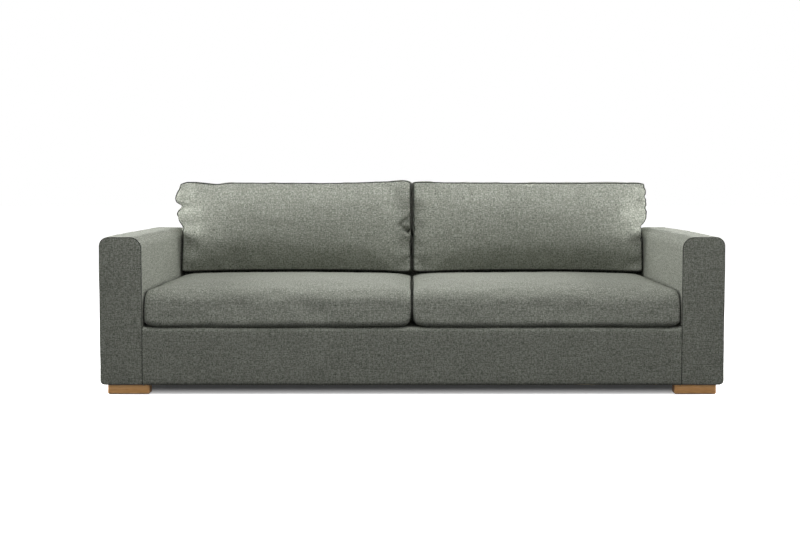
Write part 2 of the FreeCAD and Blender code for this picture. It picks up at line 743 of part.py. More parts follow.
def arm_block(name, side, inset, rounded_ends=True):
    """An arm's outline brought in by inset on every face but the lowest, which follows the frame.

    Its long top edges keep the arm's roundings less the inset, so skins between blocks are even.
    """
    low = "skirt_z" if inset == "0" else "frame_z"
    inner = f"arm_inner_x + {inset}"
    outer = f"half_width - {inset}"
    left, right = (inner, outer) if side > 0 else (f"-({outer})", f"-({inner})")
    top = f"arm_height - {inset}"
    corners = [(left, low), (right, low), (right, top), (left, top)]
    body = profile(name, "XZ", corners, f"overall_depth - 2 * ({inset})", reverse=True)
    out, into = ("max", "min") if side > 0 else ("min", "max")
    round_off(body, f"arm_outer_radius - {inset}", along="y", x=out, z="max")
    round_off(body, f"arm_inner_radius - {inset}", along="y", x=into, z="max")
    if rounded_ends:
        round_off(body, f"arm_lower_radius - {inset}", along="y", x=out, z="min")
        round_off(body, f"seam_radius - {inset}", y="min")
        round_off(body, f"seam_radius - {inset}", y="max")
    return tie(body, at_y=f"front_y + {inset}")


def bolt_points(side):
    """Formulas for y of the bolts that hold an arm, front to rear, with a number for each."""
    for n, step in enumerate((-1, 0, 1)):
        yield n, f"well_middle_y + {step} * bolt_spread"


def bolt_holes(name, side, radius="arm_bolt_radius + running_gap"):
    """Clearance along X for an arm's bolts, from inside the base to inside the arm."""
    length = "rail_thickness + arm_frame_inset + arm_inner_panel + 2"
    start = "arm_inner_x - rail_thickness - 1"
    return [
        x_cylinder(f"{name}_bolt_hole_{n}", side, radius, length, start, y)
        for n, y in bolt_points(side)
    ]


def x_cylinder(name, side, radius, length, start, y):
    """A bar at the bolts' level that runs outwards from a distance from the middle plane."""
    turn = Rotation(Vector(0, 1, 0), 90 * side)
    return cylinder(name, radius, length, (f"{side} * ({start})", y, "bolt_z"), turn)


def nut_holes(name, side):
    """Room for the tee nuts' barrels, from the inner panel's far side."""
    start = "arm_frame_inner_x + arm_inner_panel - nut_barrel_length"
    radius = "nut_barrel_radius + running_gap"
    return [
        x_cylinder(f"{name}_nut_hole_{n}", side, radius, "nut_barrel_length + 1", start, y)
        for n, y in bolt_points(side)
    ]


def make_arm(label, side):
    """One arm: timber box, foam round it, and a fabric cover with its hem turned under."""
    outer = arm_block(f"arm_{label}_outer", side, "0")
    inner = arm_block(f"arm_{label}_inner", side, "cover_thickness")
    envelope = arm_block(f"arm_{label}_envelope", side, "arm_frame_inset", rounded_ends=False)
    window = side_box(
        f"arm_{label}_window",
        side,
        ("arm_inner_x + hem_width", "half_width - arm_lower_radius - hem_width"),
        ("front_y + 2 * hem_width", "rear_y - 2 * hem_width"),
        ("foot_height", "frame_z + 1"),
    )
    holes = screw_holes(f"arm_{label}_screw", side) + bolt_holes(f"arm_{label}_cover", side)
    node(cut(f"arm_{label}_skin", outer, inner, window, *holes), f"arm_cover_{label}")
    fixing = side_box(
        f"fixing_{label}",
        side,
        ("arm_inner_x + cover_thickness", "arm_frame_inner_x"),
        ("-arm_frame_end_y", "arm_frame_end_y"),
        ("frame_z", "base_top_z"),
    )
    node(cut(f"arm_{label}_padding", inner, envelope, fixing), f"arm_foam_{label}")
    holes = bolt_holes(f"fixing_{label}", side) + nut_holes(f"fixing_{label}", side)
    fixing_board = cut(f"fixing_{label}_cut", fixing, *holes)

    width = ("arm_frame_inner_x", "arm_frame_outer_x")
    tall = ("arm_hollow_low_z", "arm_hollow_top_z")
    long = ("-arm_hollow_y", "arm_hollow_y")
    boards = []
    for end, span in (("front", ("-arm_frame_end_y", "-arm_hollow_y")),
                      ("rear", ("arm_hollow_y", "arm_frame_end_y"))):
        slab = side_box(f"arm_{label}_{end}_slab", side, width, span, ("arm_hollow_low_z", "arm_height"))
        boards.append(common(f"arm_{label}_{end}_board", envelope, slab))
    node(together(f"arm_{label}_boards", boards), f"arm_end_boards_{label}")
    full = ("-arm_frame_end_y", "arm_frame_end_y")
    low = side_box(f"arm_{label}_low", side, width, full, ("frame_z", "arm_hollow_low_z"))
    rail = cut(f"arm_{label}_low_cut", low, *screw_holes(f"arm_{label}_rail", side))
    slab = side_box(f"arm_{label}_top", side, width, long, ("arm_hollow_top_z", "arm_height"))
    top = common(f"arm_{label}_top_rail", envelope, slab)
    node(together(f"arm_{label}_rail_pair", [rail, top]), f"arm_rails_{label}")
    panel_inner = "arm_frame_inner_x + arm_inner_panel"
    panel = side_box(f"arm_{label}_panel", side, ("arm_frame_inner_x", panel_inner), long, tall)
    panel = cut(f"arm_{label}_panel_cut", panel, *nut_holes(f"panel_{label}", side))
    node(panel, f"arm_inner_panel_{label}")
    panel_outer = "arm_frame_outer_x - arm_outer_panel"
    panel = side_box(f"arm_{label}_skirt", side, (panel_outer, "arm_frame_outer_x"), long, tall)
    node(panel, f"arm_outer_panel_{label}")
    near = "well_middle_y + arm_strut_offset"
    strut_y = (near, f"{near} + arm_strut_width")
    strut = side_box(f"arm_{label}_strut", side, (panel_inner, panel_outer), strut_y, tall)
    return fixing_board, strut


def make_arms():
    pairs = [make_arm(label, side) for label, side in SIDES.items()]
    node(together("fixing_boards", [pair[0] for pair in pairs]), "arm_fixing_boards")
    node(together("struts", [pair[1] for pair in pairs]), "arm_struts")


def make_bolts():
    """Bolts with washers, from inside the base into tee nuts on the arms' inner panels."""
    bolts, washers, nuts = [], [], []
    rail = "arm_inner_x - rail_thickness"
    under = f"{rail} - washer_thickness"
    far = "arm_frame_inner_x + arm_inner_panel"
    for label, side in SIDES.items():
        for n, y in bolt_points(side):
            name = f"{label}_{n}"
            head = x_cylinder(
                f"bolt_head_{name}", side, "bolt_head_radius", "bolt_head_height",
                f"{under} - bolt_head_height", y,
            )
            shank = x_cylinder(
                f"bolt_shank_{name}", side, "arm_bolt_radius",
                f"{far} + arm_bolt_radius - ({under})", under, y,
            )
            bolts.append(fuse(f"bolt_{name}", head, shank))
            disc = x_cylinder(
                f"disc_{name}", side, "washer_radius", "washer_thickness", under, y
            )
            hole = x_cylinder(
                f"disc_hole_{name}", side, "arm_bolt_radius + running_gap",
                "washer_thickness + 2", f"{under} - 1", y,
            )
            washers.append(cut(f"washer_{name}", disc, hole))
            barrel = x_cylinder(
                f"barrel_{name}", side, "nut_barrel_radius", "nut_barrel_length",
                f"{far} - nut_barrel_length", y,
            )
            flange = x_cylinder(
                f"flange_{name}", side, "nut_flange_radius", "nut_flange_thickness", far, y
            )
            thread = x_cylinder(
                f"thread_{name}", side, "arm_bolt_radius + running_gap",
                "nut_barrel_length + nut_flange_thickness + 2", f"{far} - nut_barrel_length - 1", y,
            )
            nuts.append(cut(f"nut_{name}", fuse(f"nut_body_{name}", barrel, flange), thread))
    node(together("bolts", bolts), "arm_bolts")
    node(together("washers", washers), "arm_bolt_washers")
    node(together("nuts", nuts), "arm_tee_nuts")


def fuse(name, first, second):
    """Two objects made into one solid."""
    made = doc.addObject("Part::Fuse", name)
    made.Base = first
    made.Tool = second
    made.Refine = True
    return made


# --- cushions -----------------------------------------------------------------------------------

def make_seat_cushion(label, side):
    """A boxed cushion with its core, and a zip along the middle of its rear side."""
    left = "cushion_side_gap" if side > 0 else "-cushion_side_gap - cushion_width"
    solids = []
    for part, inset in (("outer", "0"), ("core", "cover_thickness")):
        width = f"cushion_width - 2 * {inset}"
        depth = f"cushion_rear_y - front_y - 2 * {inset}"
        outline = [("0", "0"), (width, "0"), (width, depth), ("0", depth)]
        body = profile(
            f"seat_{label}_{part}", "XY", outline, f"seat_cushion_height - 2 * {inset}"
        )
        round_off(body, f"seat_cushion_radius - {inset}")
        tie(body, at_x=f"{left} + {inset}", at_y=f"front_y + {inset}", at_z=f"cushion_low_z + {inset}")
        solids.append(body)
    finish_cushion(f"seat_cushion_{label}", solids)
    across = ("zip_z - {0} / 2", "zip_z + {0} / 2")

    def on_rear(name, x, width, out):
        y = tuple(f"cushion_rear_y + {o}" for o in out)
        return box(name, x, y, tuple(a.format(width) for a in across))

    make_zip(f"seat_cushion_{label}", f"{left} + zip_margin", "seat_zip_length", on_rear)


def make_back_cushion(label, side):
    """A cushion whose faces lean with the back, with a zip along its underside."""
    left = "back_cushion_side_gap" if side > 0 else "-back_cushion_side_gap - back_width"
    solids = []
    rear = "well_rear_y - back_cushion_rear_gap"
    front = f"{rear} - back_cushion_depth"
    for part, inset in (("outer", "0"), ("core", "cover_thickness")):
        low = f"back_low_z + {inset}"
        high = f"overall_height - {inset}"
        corners = [
            (slope(f"{front} + {inset}", low), low),
            (slope(f"{rear} - {inset}", low), low),
            (slope(f"{rear} - {inset}", high), high),
            (slope(f"{front} + {inset}", high), high),
        ]
        body = profile(f"back_{label}_{part}", "YZ", corners, f"back_width - 2 * {inset}")
        round_off(body, f"back_cushion_radius - {inset}")
        tie(body, at_x=f"{left} + {inset}")
        solids.append(body)
    finish_cushion(f"back_cushion_{label}", solids)
    middle = f"{slope(rear, 'back_low_z')} - zip_setback"

    def on_underside(name, x, width, out):
        y = (f"{middle} - {width} / 2", f"{middle} + {width} / 2")
        return box(name, x, y, tuple(f"back_low_z - ({o})" for o in reversed(out)))

    make_zip(f"back_cushion_{label}", f"{left} + zip_margin", "back_zip_length", on_underside)


def finish_cushion(label, solids):
    """The cover is the outer solid less the core that fills it."""
    outer, core = solids
    node(cut(f"{label}_skin", outer, core), f"{label}_cover")
    node(core, f"{label}_core")


def make_zip(label, start, length, place):
    """Tape, teeth, and a slider that straddles the teeth at the zip's right-hand end.

    place(name, x, width, out) makes a block that lies on the cushion: out is its span outwards.
    """
    tape = place(f"{label}_tape", (start, f"{start} + {length}"), "zip_tape_width",
                 ("0", "zip_tape_thickness"))
    teeth = place(f"{label}_teeth", (start, f"{start} + {length}"), "zip_chain_width",
                  ("zip_tape_thickness", "zip_tape_thickness + zip_chain_height"))
    node(fuse(f"{label}_zip_fuse", tape, teeth), f"{label}_zip")
    end = f"{start} + {length} - zip_stop"
    x = (f"{end} - slider_length", end)
    block = place(f"{label}_slider_block", x, "slider_width", ("slider_low", "slider_top"))
    groove = place(
        f"{label}_slider_groove",
        (f"{end} - slider_length - 1", f"{end} + 1"),
        "(zip_chain_width + 2 * slider_gap)",
        ("0", "slider_roof"),
    )
    pull = place(
        f"{label}_pull",
        (f"{end} - slider_length - pull_length", f"{end} - slider_length"),
        "pull_width",
        ("slider_top - pull_thickness", "slider_top"),
    )
    slider = fuse(f"{label}_slider_fuse", cut(f"{label}_slider_cut", block, groove), pull)
    node(slider, f"{label}_zip_slider")


# --- the sofa -----------------------------------------------------------------------------------

def check_and_write():
    """Stops if anything in the document failed, and otherwise writes one file for each sub-part."""
    doc.recompute()
    faults = [o.Name for o in doc.Objects if {"Invalid", "Error"} & set(o.State)]
    faults += [o.Label for o in nodes if o.Shape.isNull() or not o.Shape.isValid()]
    faults += [o.Label for o in nodes if not o.Shape.Solids]
    labels = [o.Label for o in nodes]
    faults += [name for name in set(labels) if labels.count(name) > 1]
    if faults:
        raise SystemExit("failed: " + ", ".join(faults))
    os.makedirs("parts", exist_ok=True)
    for thing in nodes:
        thing.Shape.exportStep(f"parts/{thing.Label}.step")
    print(len(nodes), "sub-parts")


make_dust_cover()
make_base()
make_springs()
make_deck()
make_back_frame()
make_back_covers()
make_arms()
make_bolts()
make_feet()
for label_, side_ in SIDES.items():
    make_seat_cushion(label_, side_)
    make_back_cushion(label_, side_)
check_and_write()
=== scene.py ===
"""Looks of an upholstered four-seat sofa on low oak feet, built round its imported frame.

The timber, springs, zips and fasteners are the frame's own nodes with finishes added. Every fabric
piece is made here: tight covers over the arms, base and back are outlines carried along a line, and
the four loose cushions are sewn boxes blown up as cloth, then pressed back against what they touch.
Lengths are in metres in the frame's own axes: +X to the right of someone facing the sofa, -Y to the
front and +Z up.
"""

import json
import math

import bmesh
import bpy
import numpy as np
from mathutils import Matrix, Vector


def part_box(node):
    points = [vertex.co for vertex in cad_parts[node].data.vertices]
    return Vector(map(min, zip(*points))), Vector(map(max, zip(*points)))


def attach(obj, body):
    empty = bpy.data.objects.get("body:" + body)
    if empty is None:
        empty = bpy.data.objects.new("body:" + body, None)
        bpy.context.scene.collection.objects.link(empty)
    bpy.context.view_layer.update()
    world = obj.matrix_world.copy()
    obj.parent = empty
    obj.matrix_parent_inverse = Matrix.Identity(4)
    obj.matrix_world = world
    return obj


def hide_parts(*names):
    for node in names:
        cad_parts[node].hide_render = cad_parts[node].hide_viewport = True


MM = 0.001
SIDES = {"left": -1, "right": 1}


# --- materials: colour and one node helper ------------------------------------------------------

def colour(hex_code):
    """An sRGB hex value as linear RGBA."""
    srgb = np.array([int(hex_code[i : i + 2], 16) for i in (1, 3, 5)]) / 255
    linear = np.where(srgb <= 0.04045, srgb / 12.92, ((srgb + 0.055) / 1.055) ** 2.4)
    return (*linear.tolist(), 1.0)


def add(tree, kind, inputs=None, **settings):
    """A shader node with its settings; an input that is a socket is linked, any other is set."""
    made = tree.nodes.new("ShaderNode" + kind)
    for name, value in settings.items():
        setattr(made, name, value)
    for name, value in (inputs or {}).items():
        if isinstance(value, bpy.types.NodeSocket):
            tree.links.new(value, made.inputs[name])
        else:
            made.inputs[name].default_value = value
    return made


def blank(name, **surface):
    """A material with one Principled shader, whose uniform values sit on its own sockets."""
    material = bpy.data.materials.new(name)
    material.use_nodes = True
    tree = material.node_tree
    tree.nodes.clear()
    shader = add(tree, "BsdfPrincipled", {k.replace("_", " "): v for k, v in surface.items()})
    output = add(tree, "OutputMaterial")
    tree.links.new(shader.outputs["BSDF"], output.inputs["Surface"])
    return material, tree, shader


def ramp(tree, factor, shades, margin):
    """Three colours along a factor: dark up to the margin, mean halfway, light from 1 - margin on."""
    made = add(tree, "ValToRGB", {"Fac": factor})
    band = made.color_ramp.elements
    band.new(0.5)
    for element, position, hex_code in zip(band, (margin, 0.5, 1 - margin), shades):
        element.position = position
        element.color = colour(hex_code)
    return made.outputs["Color"]


def finish(tree, shader, shade, relief, strength, depth):
    """Links a colour, and a bump whose relief is worth depth metres at full strength."""
    tree.links.new(shade, shader.inputs["Base Color"])
    bump = add(tree, "Bump", {"Height": relief, "Strength": strength, "Distance": depth})
    tree.links.new(bump.outputs["Normal"], shader.inputs["Normal"])


def streaks(tree, place, along, length, width, detail=2.0):
    """Noise drawn out along one axis: each streak is about length by width metres."""
    scale = [1 / width] * 3
    scale[along] = 1 / length
    laid = add(tree, "Mapping", {"Vector": place, "Scale": scale})
    noise = add(tree, "TexNoise", {"Vector": laid.outputs[0], "Scale": 1.0, "Detail": detail,
                                   "Roughness": 0.55})
    return noise.outputs["Fac"]


def blended(tree, parts):
    """The weighted sum of (weight, socket) pairs, each socket counted from its middle, plus a half."""
    total = 0.5
    for weight, socket in parts:
        centred = add(tree, "Math", {0: socket, 1: 0.5}, operation="SUBTRACT").outputs[0]
        scaled = add(tree, "Math", {0: centred, 1: weight, 2: total}, operation="MULTIPLY_ADD")
        total = scaled.outputs[0]
    return total


def linen_weave(name, shades):
    """Heathered linen-look polyester: plain weave of slubbed two-tone yarn, matt with a soft nap.

    Yarns are about 1 mm; they are drawn in bundles of 3 and 5 mm so that they show. The nap
    catches light at a glancing angle, so faces seen edge-on are paler than those seen square on.
    """
    material, tree, shader = blank(name, Roughness=0.95, Sheen_Weight=0.12, Sheen_Roughness=0.5,
                                   Specular_IOR_Level=0.12)
    shader.inputs["Sheen Tint"].default_value = colour("#eef0e8")
    place = add(tree, "UVMap", uv_map="weave").outputs["UV"]
    fine_weft = streaks(tree, place, 0, 12 * MM, 3.2 * MM)
    fine_warp = streaks(tree, place, 1, 12 * MM, 3.2 * MM)
    weft = streaks(tree, place, 0, 80 * MM, 5 * MM)
    warp = streaks(tree, place, 1, 80 * MM, 5 * MM)
    heather = add(tree, "TexNoise", {"Vector": place, "Scale": 1 / (4 * MM), "Detail": 2.0})
    cloud = add(tree, "TexNoise", {"Vector": place, "Scale": 5.0, "Detail": 2.0})
    tone = blended(tree, [
        (1.0, fine_weft), (0.9, fine_warp), (0.38, weft), (0.34, warp),
        (0.7, heather.outputs["Fac"]), (0.08, cloud.outputs["Fac"]),
    ])
    relief = blended(tree, [
        (0.5, fine_weft), (0.5, fine_warp), (0.3, weft), (0.5, heather.outputs["Fac"]),
    ])
    finish(tree, shader, ramp(tree, tone, shades, 0.2), relief, 0.5, 1.1 * MM)
    return material


def oiled_timber(name, shades, along=0, rough=0.5, ring=7 * MM):
    """Planed wood: growth rings drawn out along one axis, with fine darker pores between them."""
    material, tree, shader = blank(name, Roughness=rough, Coat_Weight=0.06, Coat_Roughness=0.4)
    place = add(tree, "TexCoord").outputs["Object"]
    rings = streaks(tree, place, along, 260 * MM, ring, 3.0)
    pores = streaks(tree, place, along, 24 * MM, 0.9 * MM, 1.0)
    broad = streaks(tree, place, along, 420 * MM, 30 * MM, 1.0)
    tone = blended(tree, [(1.1, rings), (0.7, pores), (0.6, broad)])
    relief = blended(tree, [(0.8, pores), (0.3, rings)])
    finish(tree, shader, ramp(tree, tone, shades, 0.15), relief, 0.4, 0.5 * MM)
    return material


def speckled(name, shades, grain, rough, depth, **surface):
    """A surface without a direction: grains of one size over a broader cloud of tone."""
    material, tree, shader = blank(name, Roughness=rough, **surface)
    place = add(tree, "TexCoord").outputs["Object"]
    grains = add(tree, "TexNoise", {"Vector": place, "Scale": 1 / grain, "Detail": 3.0}).outputs["Fac"]
    cloud = add(tree, "TexNoise", {"Vector": place, "Scale": 14.0, "Detail": 2.0}).outputs["Fac"]
    tone = blended(tree, [(0.9, grains), (0.5, cloud)])
    finish(tree, shader, ramp(tree, tone, shades, 0.2), grains, 0.5, depth)
    return material


def make_finishes():
    """Every finish of the sofa, by the record's material slot; shades run dark, mean, light."""
    return {
        # Linen-look cover: grey-green heather whose dark and light yarns differ by a few tones.
        "upholstery": linen_weave("linen_look_weave", ("#60645b", "#8b8e84", "#b4b6ac")),
        # Bonded polyester thread, coloured a good deal darker than the cover so that seams read as
        # lines: the thread is real, but its darkness is painted shade of each seam's groove.
        "thread": speckled("bonded_thread", ("#181a15", "#24261f", "#33362d"),
                           grain=1.5 * MM, rough=0.7, depth=0.1 * MM),
        # Oiled oak: warm honey brown, open pores along the grain.
        "oak": oiled_timber("oiled_oak", ("#b27a42", "#e0a45e", "#eeb97c"), rough=0.48),
        # Planed softwood: pale yellow with wide rings.
        "pine": oiled_timber("planed_softwood", ("#b98a55", "#dcb983", "#ead0a2"),
                             rough=0.6, ring=14 * MM),
        # Birch plywood: even, pale and close-grained.
        "plywood": oiled_timber("birch_plywood", ("#c09a68", "#dcbf92", "#e8d2ac"),
                                along=1, rough=0.6, ring=4 * MM),
        # Hardboard: pressed brown fibre, smooth and slightly shiny.
        "hardboard": speckled("pressed_hardboard", ("#4c3524", "#6b4c34", "#7f5d42"),
                              grain=1.5 * MM, rough=0.5, depth=0.2 * MM),
        # Cut polyurethane foam: cream, with open cells.
        "foam": speckled("cut_foam", ("#cfc49a", "#e6dcb8", "#f1ead0"),
                         grain=2.5 * MM, rough=0.95, depth=1.0 * MM),
        # Needle felt: dark grey tangled fibre.
        "felt": speckled("needle_felt", ("#2f302d", "#454641", "#5a5b55"),
                         grain=1.6 * MM, rough=0.97, depth=0.8 * MM, Sheen_Weight=0.3),
        # Non-woven lining: black, faintly dimpled.
        "lining": speckled("non_woven_lining", ("#101111", "#1a1b1b", "#272828"),
                           grain=1.2 * MM, rough=0.9, depth=0.3 * MM),
        # Elastic webbing: dark ribbed tape.
        "webbing": speckled("elastic_webbing", ("#23241f", "#34352f", "#4a4b43"),
                            grain=1.4 * MM, rough=0.85, depth=0.6 * MM),
        # Nylon zip: woven tape dyed to the cover, a shade darker.
        "zip_tape": speckled("nylon_zip", ("#3f423a", "#50544a", "#62665b"),
                             grain=1.1 * MM, rough=0.6, depth=0.4 * MM),
        # Oiled spring wire: dark grey drawn steel.
        "spring_steel": speckled("oiled_spring_wire", ("#55565a", "#6f7074", "#85868a"),
                                 grain=0.6 * MM, rough=0.38, depth=0.1 * MM, Metallic=1.0),
        # Zinc plate: bright grey with a fine spangle.
        "zinc": speckled("zinc_plate", ("#a3a6aa", "#bcbfc2", "#d0d2d4"),
                         grain=1.0 * MM, rough=0.32, depth=0.1 * MM, Metallic=1.0),
    }


# --- mesh building ------------------------------------------------------------------------------

def mesh_piece(name, points, quads, uvs):
    """A smooth-shaded object from points, four-cornered faces and a UV pair for every corner."""
    mesh = bpy.data.meshes.new(name)
    mesh.vertices.add(len(points))
    mesh.vertices.foreach_set("co", np.asarray(points, np.float32).ravel())
    mesh.loops.add(quads.size)
    mesh.loops.foreach_set("vertex_index", quads.astype(np.int32).ravel())
    mesh.polygons.add(len(quads))
    mesh.polygons.foreach_set("loop_start", np.arange(0, quads.size, 4, dtype=np.int32))
    mesh.polygons.foreach_set("loop_total", np.full(len(quads), 4, np.int32))
    mesh.polygons.foreach_set("use_smooth", np.ones(len(quads), bool))
    mesh.uv_layers.new(name="weave").data.foreach_set("uv", np.asarray(uvs, np.float32).ravel())
    mesh.update(calc_edges=True)
    mesh.validate()
    piece = bpy.data.objects.new(name, mesh)
    bpy.context.scene.collection.objects.link(piece)
    return piece


def coordinates(piece):
    """The piece's points as an array of shape (n, 3)."""
    found = np.empty(len(piece.data.vertices) * 3)
    piece.data.vertices.foreach_get("co", found)
    return found.reshape(-1, 3)


def normals(piece):
    """The piece's point normals as an array of shape (n, 3)."""
    found = np.empty(len(piece.data.vertices) * 3)
    piece.data.vertex_normals.foreach_get("vector", found)
    return found.reshape(-1, 3)


def reshape(piece, points):
    """Moves the piece's points to these places."""
    piece.data.vertices.foreach_set("co", points.astype(np.float32).ravel())
    piece.data.update()


def corner_arc(centre, radius, start, steps):
    """Quarter circle about a centre, anticlockwise from the angle start, both ends included."""
    angle = start + np.linspace(0, math.pi / 2, steps)
    return centre + radius * np.stack([np.cos(angle), np.sin(angle)], axis=1)


def rounded_outline(low, high, radii, inset, spacing, steps=9):
    """Closed outline of a rectangle with a radius at each corner, brought in by inset.

    Corners run anticlockwise from the top right. Every side keeps its number of points whatever the
    inset, so outlines of different insets join point by point.
    """
    low, high = np.asarray(low, float), np.asarray(high, float)
    reach = np.minimum((high - low) / 2, inset)
    own_low, own_high = low + reach, high - reach
    least = 1e-5
    around = []
    for n, (sx, sy) in enumerate(((1, 1), (-1, 1), (-1, -1), (1, -1))):
        room = min(own_high - own_low) / 2
        radius = min(max(radii[n] - inset, least), max(room, least))
        corner = np.where([sx > 0, sy > 0], own_high, own_low)
        around.append(corner_arc(corner - radius * np.array([sx, sy]), radius, n * math.pi / 2, steps))
    sizes = high - low
    outline = []
    for n in range(4):
        outline.append(around[n])
        ahead = around[(n + 1) % 4]
        count = max(int(round(sizes[n % 2] / spacing)), 2)
        share = (np.arange(1, count) / count)[:, None]
        outline.append(around[n][-1] * (1 - share) + ahead[0] * share)
    return np.concatenate(outline)


def rings_piece(name, rings, uvs):
    """A closed surface through rings of equal length; the first and last fold onto a line.

    rings has shape (m, n, 3) and uvs (m, n + 1, 2): one more than the ring, where it closes.
    """
    m, n = rings.shape[:2]
    index = np.arange(m * n).reshape(m, n)
    ahead = np.roll(index, -1, axis=1)
    quads = np.stack([index[:-1], ahead[:-1], ahead[1:], index[1:]], axis=-1).reshape(-1, 4)
    corner_uv = np.stack([uvs[:-1, :-1], uvs[:-1, 1:], uvs[1:, 1:], uvs[1:, :-1]], axis=2)
    piece = mesh_piece(name, rings.reshape(-1, 3), quads, corner_uv.reshape(-1, 2))
    merge(piece)
    return piece


def merge(piece, distance=2e-5):
    """Welds points that coincide and turns every face outwards."""
    work = bmesh.new()
    work.from_mesh(piece.data)
    bmesh.ops.remove_doubles(work, verts=work.verts, dist=distance)
    bmesh.ops.dissolve_degenerate(work, edges=work.edges, dist=distance)
    bmesh.ops.recalc_face_normals(work, faces=work.faces)
    work.to_mesh(piece.data)
    work.free()
    piece.data.polygons.foreach_set("use_smooth", np.ones(len(piece.data.polygons), bool))
    piece.data.update()


def ripple(points, amplitude, length, seed):
    """Slow unevenness of stuffed fabric: a sum of sines in seeded directions, per point."""
    draw = np.random.default_rng(seed)
    total = np.zeros(len(points))
    for _ in range(7):
        direction = draw.normal(size=3)
        direction /= np.linalg.norm(direction)
        stretch = 2 * math.pi / (length * draw.uniform(0.6, 1.7))
        total += np.sin(points @ direction * stretch + draw.uniform(0, 2 * math.pi))
    return amplitude * total / 3


def cross_stations(start, end, half, edge, crown, spacing):
    """How an outline is carried from a front panel to a rear one: rows of (inset, place, seam).

    The first and last rows are the panels' middles. A panel stands proud by crown at its middle, and
    turns the corner at a radius of edge; seam is 1 on the sewn line halfway round, else 0.
    """
    steps = max(int((half - edge) / spacing), 3)
    inset = edge + (half - edge) * (1 - np.arange(steps) / steps)
    panel = [(d, start - crown * (1 - (1 - (d - edge) / (half - edge)) ** 2), 0.0) for d in inset]
    turn = np.linspace(0, math.pi / 2, 9)
    bend = [(edge * (1 - math.sin(t)), start + edge * (1 - math.cos(t)), float(n == 4))
            for n, t in enumerate(turn)]
    count = max(int((end - start - 2 * edge) / spacing), 2)
    side = [(0.0, y, 0.0) for y in np.linspace(start + edge, end - edge, count + 1)[1:-1]]
    mirror = [(d, start + end - y, s) for d, y, s in reversed(panel + bend)]
    return np.array(panel + bend + side + mirror)


def carried(name, axis, outline, stations, spacing, place, seam_depth=0.0):
    """A rounded outline carried along an axis as cross_stations says, with a sewn groove.

    outline is (low, high, radii) in the other two axes; place maps (u, v, w) columns to X, Y, Z.
    """
    low, high, radii = outline
    rows = []
    for inset, w, seam in stations:
        ring = rounded_outline(low, high, radii, inset + seam * seam_depth, spacing)
        rows.append(np.column_stack([ring, np.full(len(ring), w)]))
    rows = np.array(rows)
    girth = rounded_outline(low, high, radii, 0.0, spacing)
    steps = np.linalg.norm(np.roll(girth, -1, axis=0) - girth, axis=1)
    around = np.concatenate([[0.0], np.cumsum(steps)])
    closed = np.concatenate([rows, rows[:, :1]], axis=1)
    wrapped = np.stack([np.broadcast_to(around, closed.shape[:2]), closed[..., 2]], axis=-1)
    flat = closed[..., :2]
    on_panel = (np.array([row[0] for row in stations]) > 3 * MM)[:, None, None]
    return rings_piece(name, place(rows), np.where(on_panel, flat, wrapped))


# --- tight covers -------------------------------------------------------------------------------

TIGHT_SPACING = 12 * MM  # between the points of a tight cover
EDGE = 5 * MM  # rounding of a sewn edge
SEAM_DEPTH = 2.4 * MM  # how far its seam draws in


def bulge(share):
    """How far foam stands out across a span: 0 at both ends, 1 in the middle."""
    return 1 - (2 * np.clip(share, 0, 1) - 1) ** 4


def part_way(value, start, end):
    """How far a value is from start to end: 0 before start, 1 past end, and straight between."""
    return np.clip((value - start) / (end - start), 0, 1)


def bell(distance, width):
    """1 at no distance, falling off to either side as a bell curve of that width."""
    return np.exp(-((distance / width) ** 2))


def eased(share):
    """0 up to 0, 1 from 1 on, and a smooth step between."""
    share = np.clip(share, 0, 1)
    return share * share * (3 - 2 * share)


def make_arm(label, side):
    """An arm: its outline in XZ carried from a sewn front panel to a rear one, stuffed a little."""
    low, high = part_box(f"arm_cover_{label}")
    proud = 3 * MM
    outer, inner, lower = 35 * MM, 45 * MM, 17 * MM
    radii = (outer, inner, 4 * MM, lower) if side > 0 else (inner, outer, lower, 4 * MM)
    stations = cross_stations(low.y, high.y, (high.x - low.x) / 2, EDGE, proud, TIGHT_SPACING)
    outline = ((low.x, low.z), (high.x, high.z), radii)
    piece = carried(f"arm_cushioned_{label}", "y", outline, stations, TIGHT_SPACING,
                    lambda rows: rows[..., [0, 2, 1]], SEAM_DEPTH)
    points, out = coordinates(piece), normals(piece)
    along = (points[:, 1] - low.y) / (high.y - low.y)
    up = (points[:, 2] - low.z) / (high.z - low.z)
    across = (points[:, 0] - low.x) / (high.x - low.x)
    away = bulge(along) * np.where(np.abs(out[:, 2]) > 0.7, bulge(across), bulge(up))
    side_share = np.clip(1 - np.abs(out[:, 1]), 0, 1)
    stuffing = proud * away * side_share + ripple(points, 0.7 * MM, 0.16, 11 + side)
    stuffing *= np.where(out[:, 2] < -0.5, 0, 1)
    points += out * stuffing[:, None]
    base_half = abs(high.x if side < 0 else low.x)
    inside = np.abs(points[:, 0]) < base_half + 0.5 * MM
    points[inside, 0] = side * (base_half + 0.5 * MM)
    reshape(piece, points)
    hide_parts(f"arm_cover_{label}")
    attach(piece, "frame")
    return piece, arm_seams(label, low, high, radii)


def arm_seams(label, low, high, radii):
    """The thread round an arm's front and rear panels, halfway round their sewn edges."""
    slant = math.sqrt(0.5)
    inset = EDGE * (1 - slant) + 1.4 * MM
    ring = rounded_outline((low.x, low.z), (high.x, high.z), radii, inset, TIGHT_SPACING)
    ahead = np.roll(ring, -1, axis=0) - np.roll(ring, 1, axis=0)
    ahead /= np.linalg.norm(ahead, axis=1)[:, None]
    runs = []
    for way, y in ((-1, low.y + EDGE * (1 - slant)), (1, high.y - EDGE * (1 - slant))):
        path = np.column_stack([ring[:, 0], np.full(len(ring), y), ring[:, 1]])
        away = np.column_stack([ahead[:, 1], np.full(len(ring), way), -ahead[:, 0]]) * slant
        runs.append((path, away))
    thread = thread_tube(f"arm_cushioned_{label}_seam", runs, 1.9 * MM)
    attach(thread, "frame")
    return thread


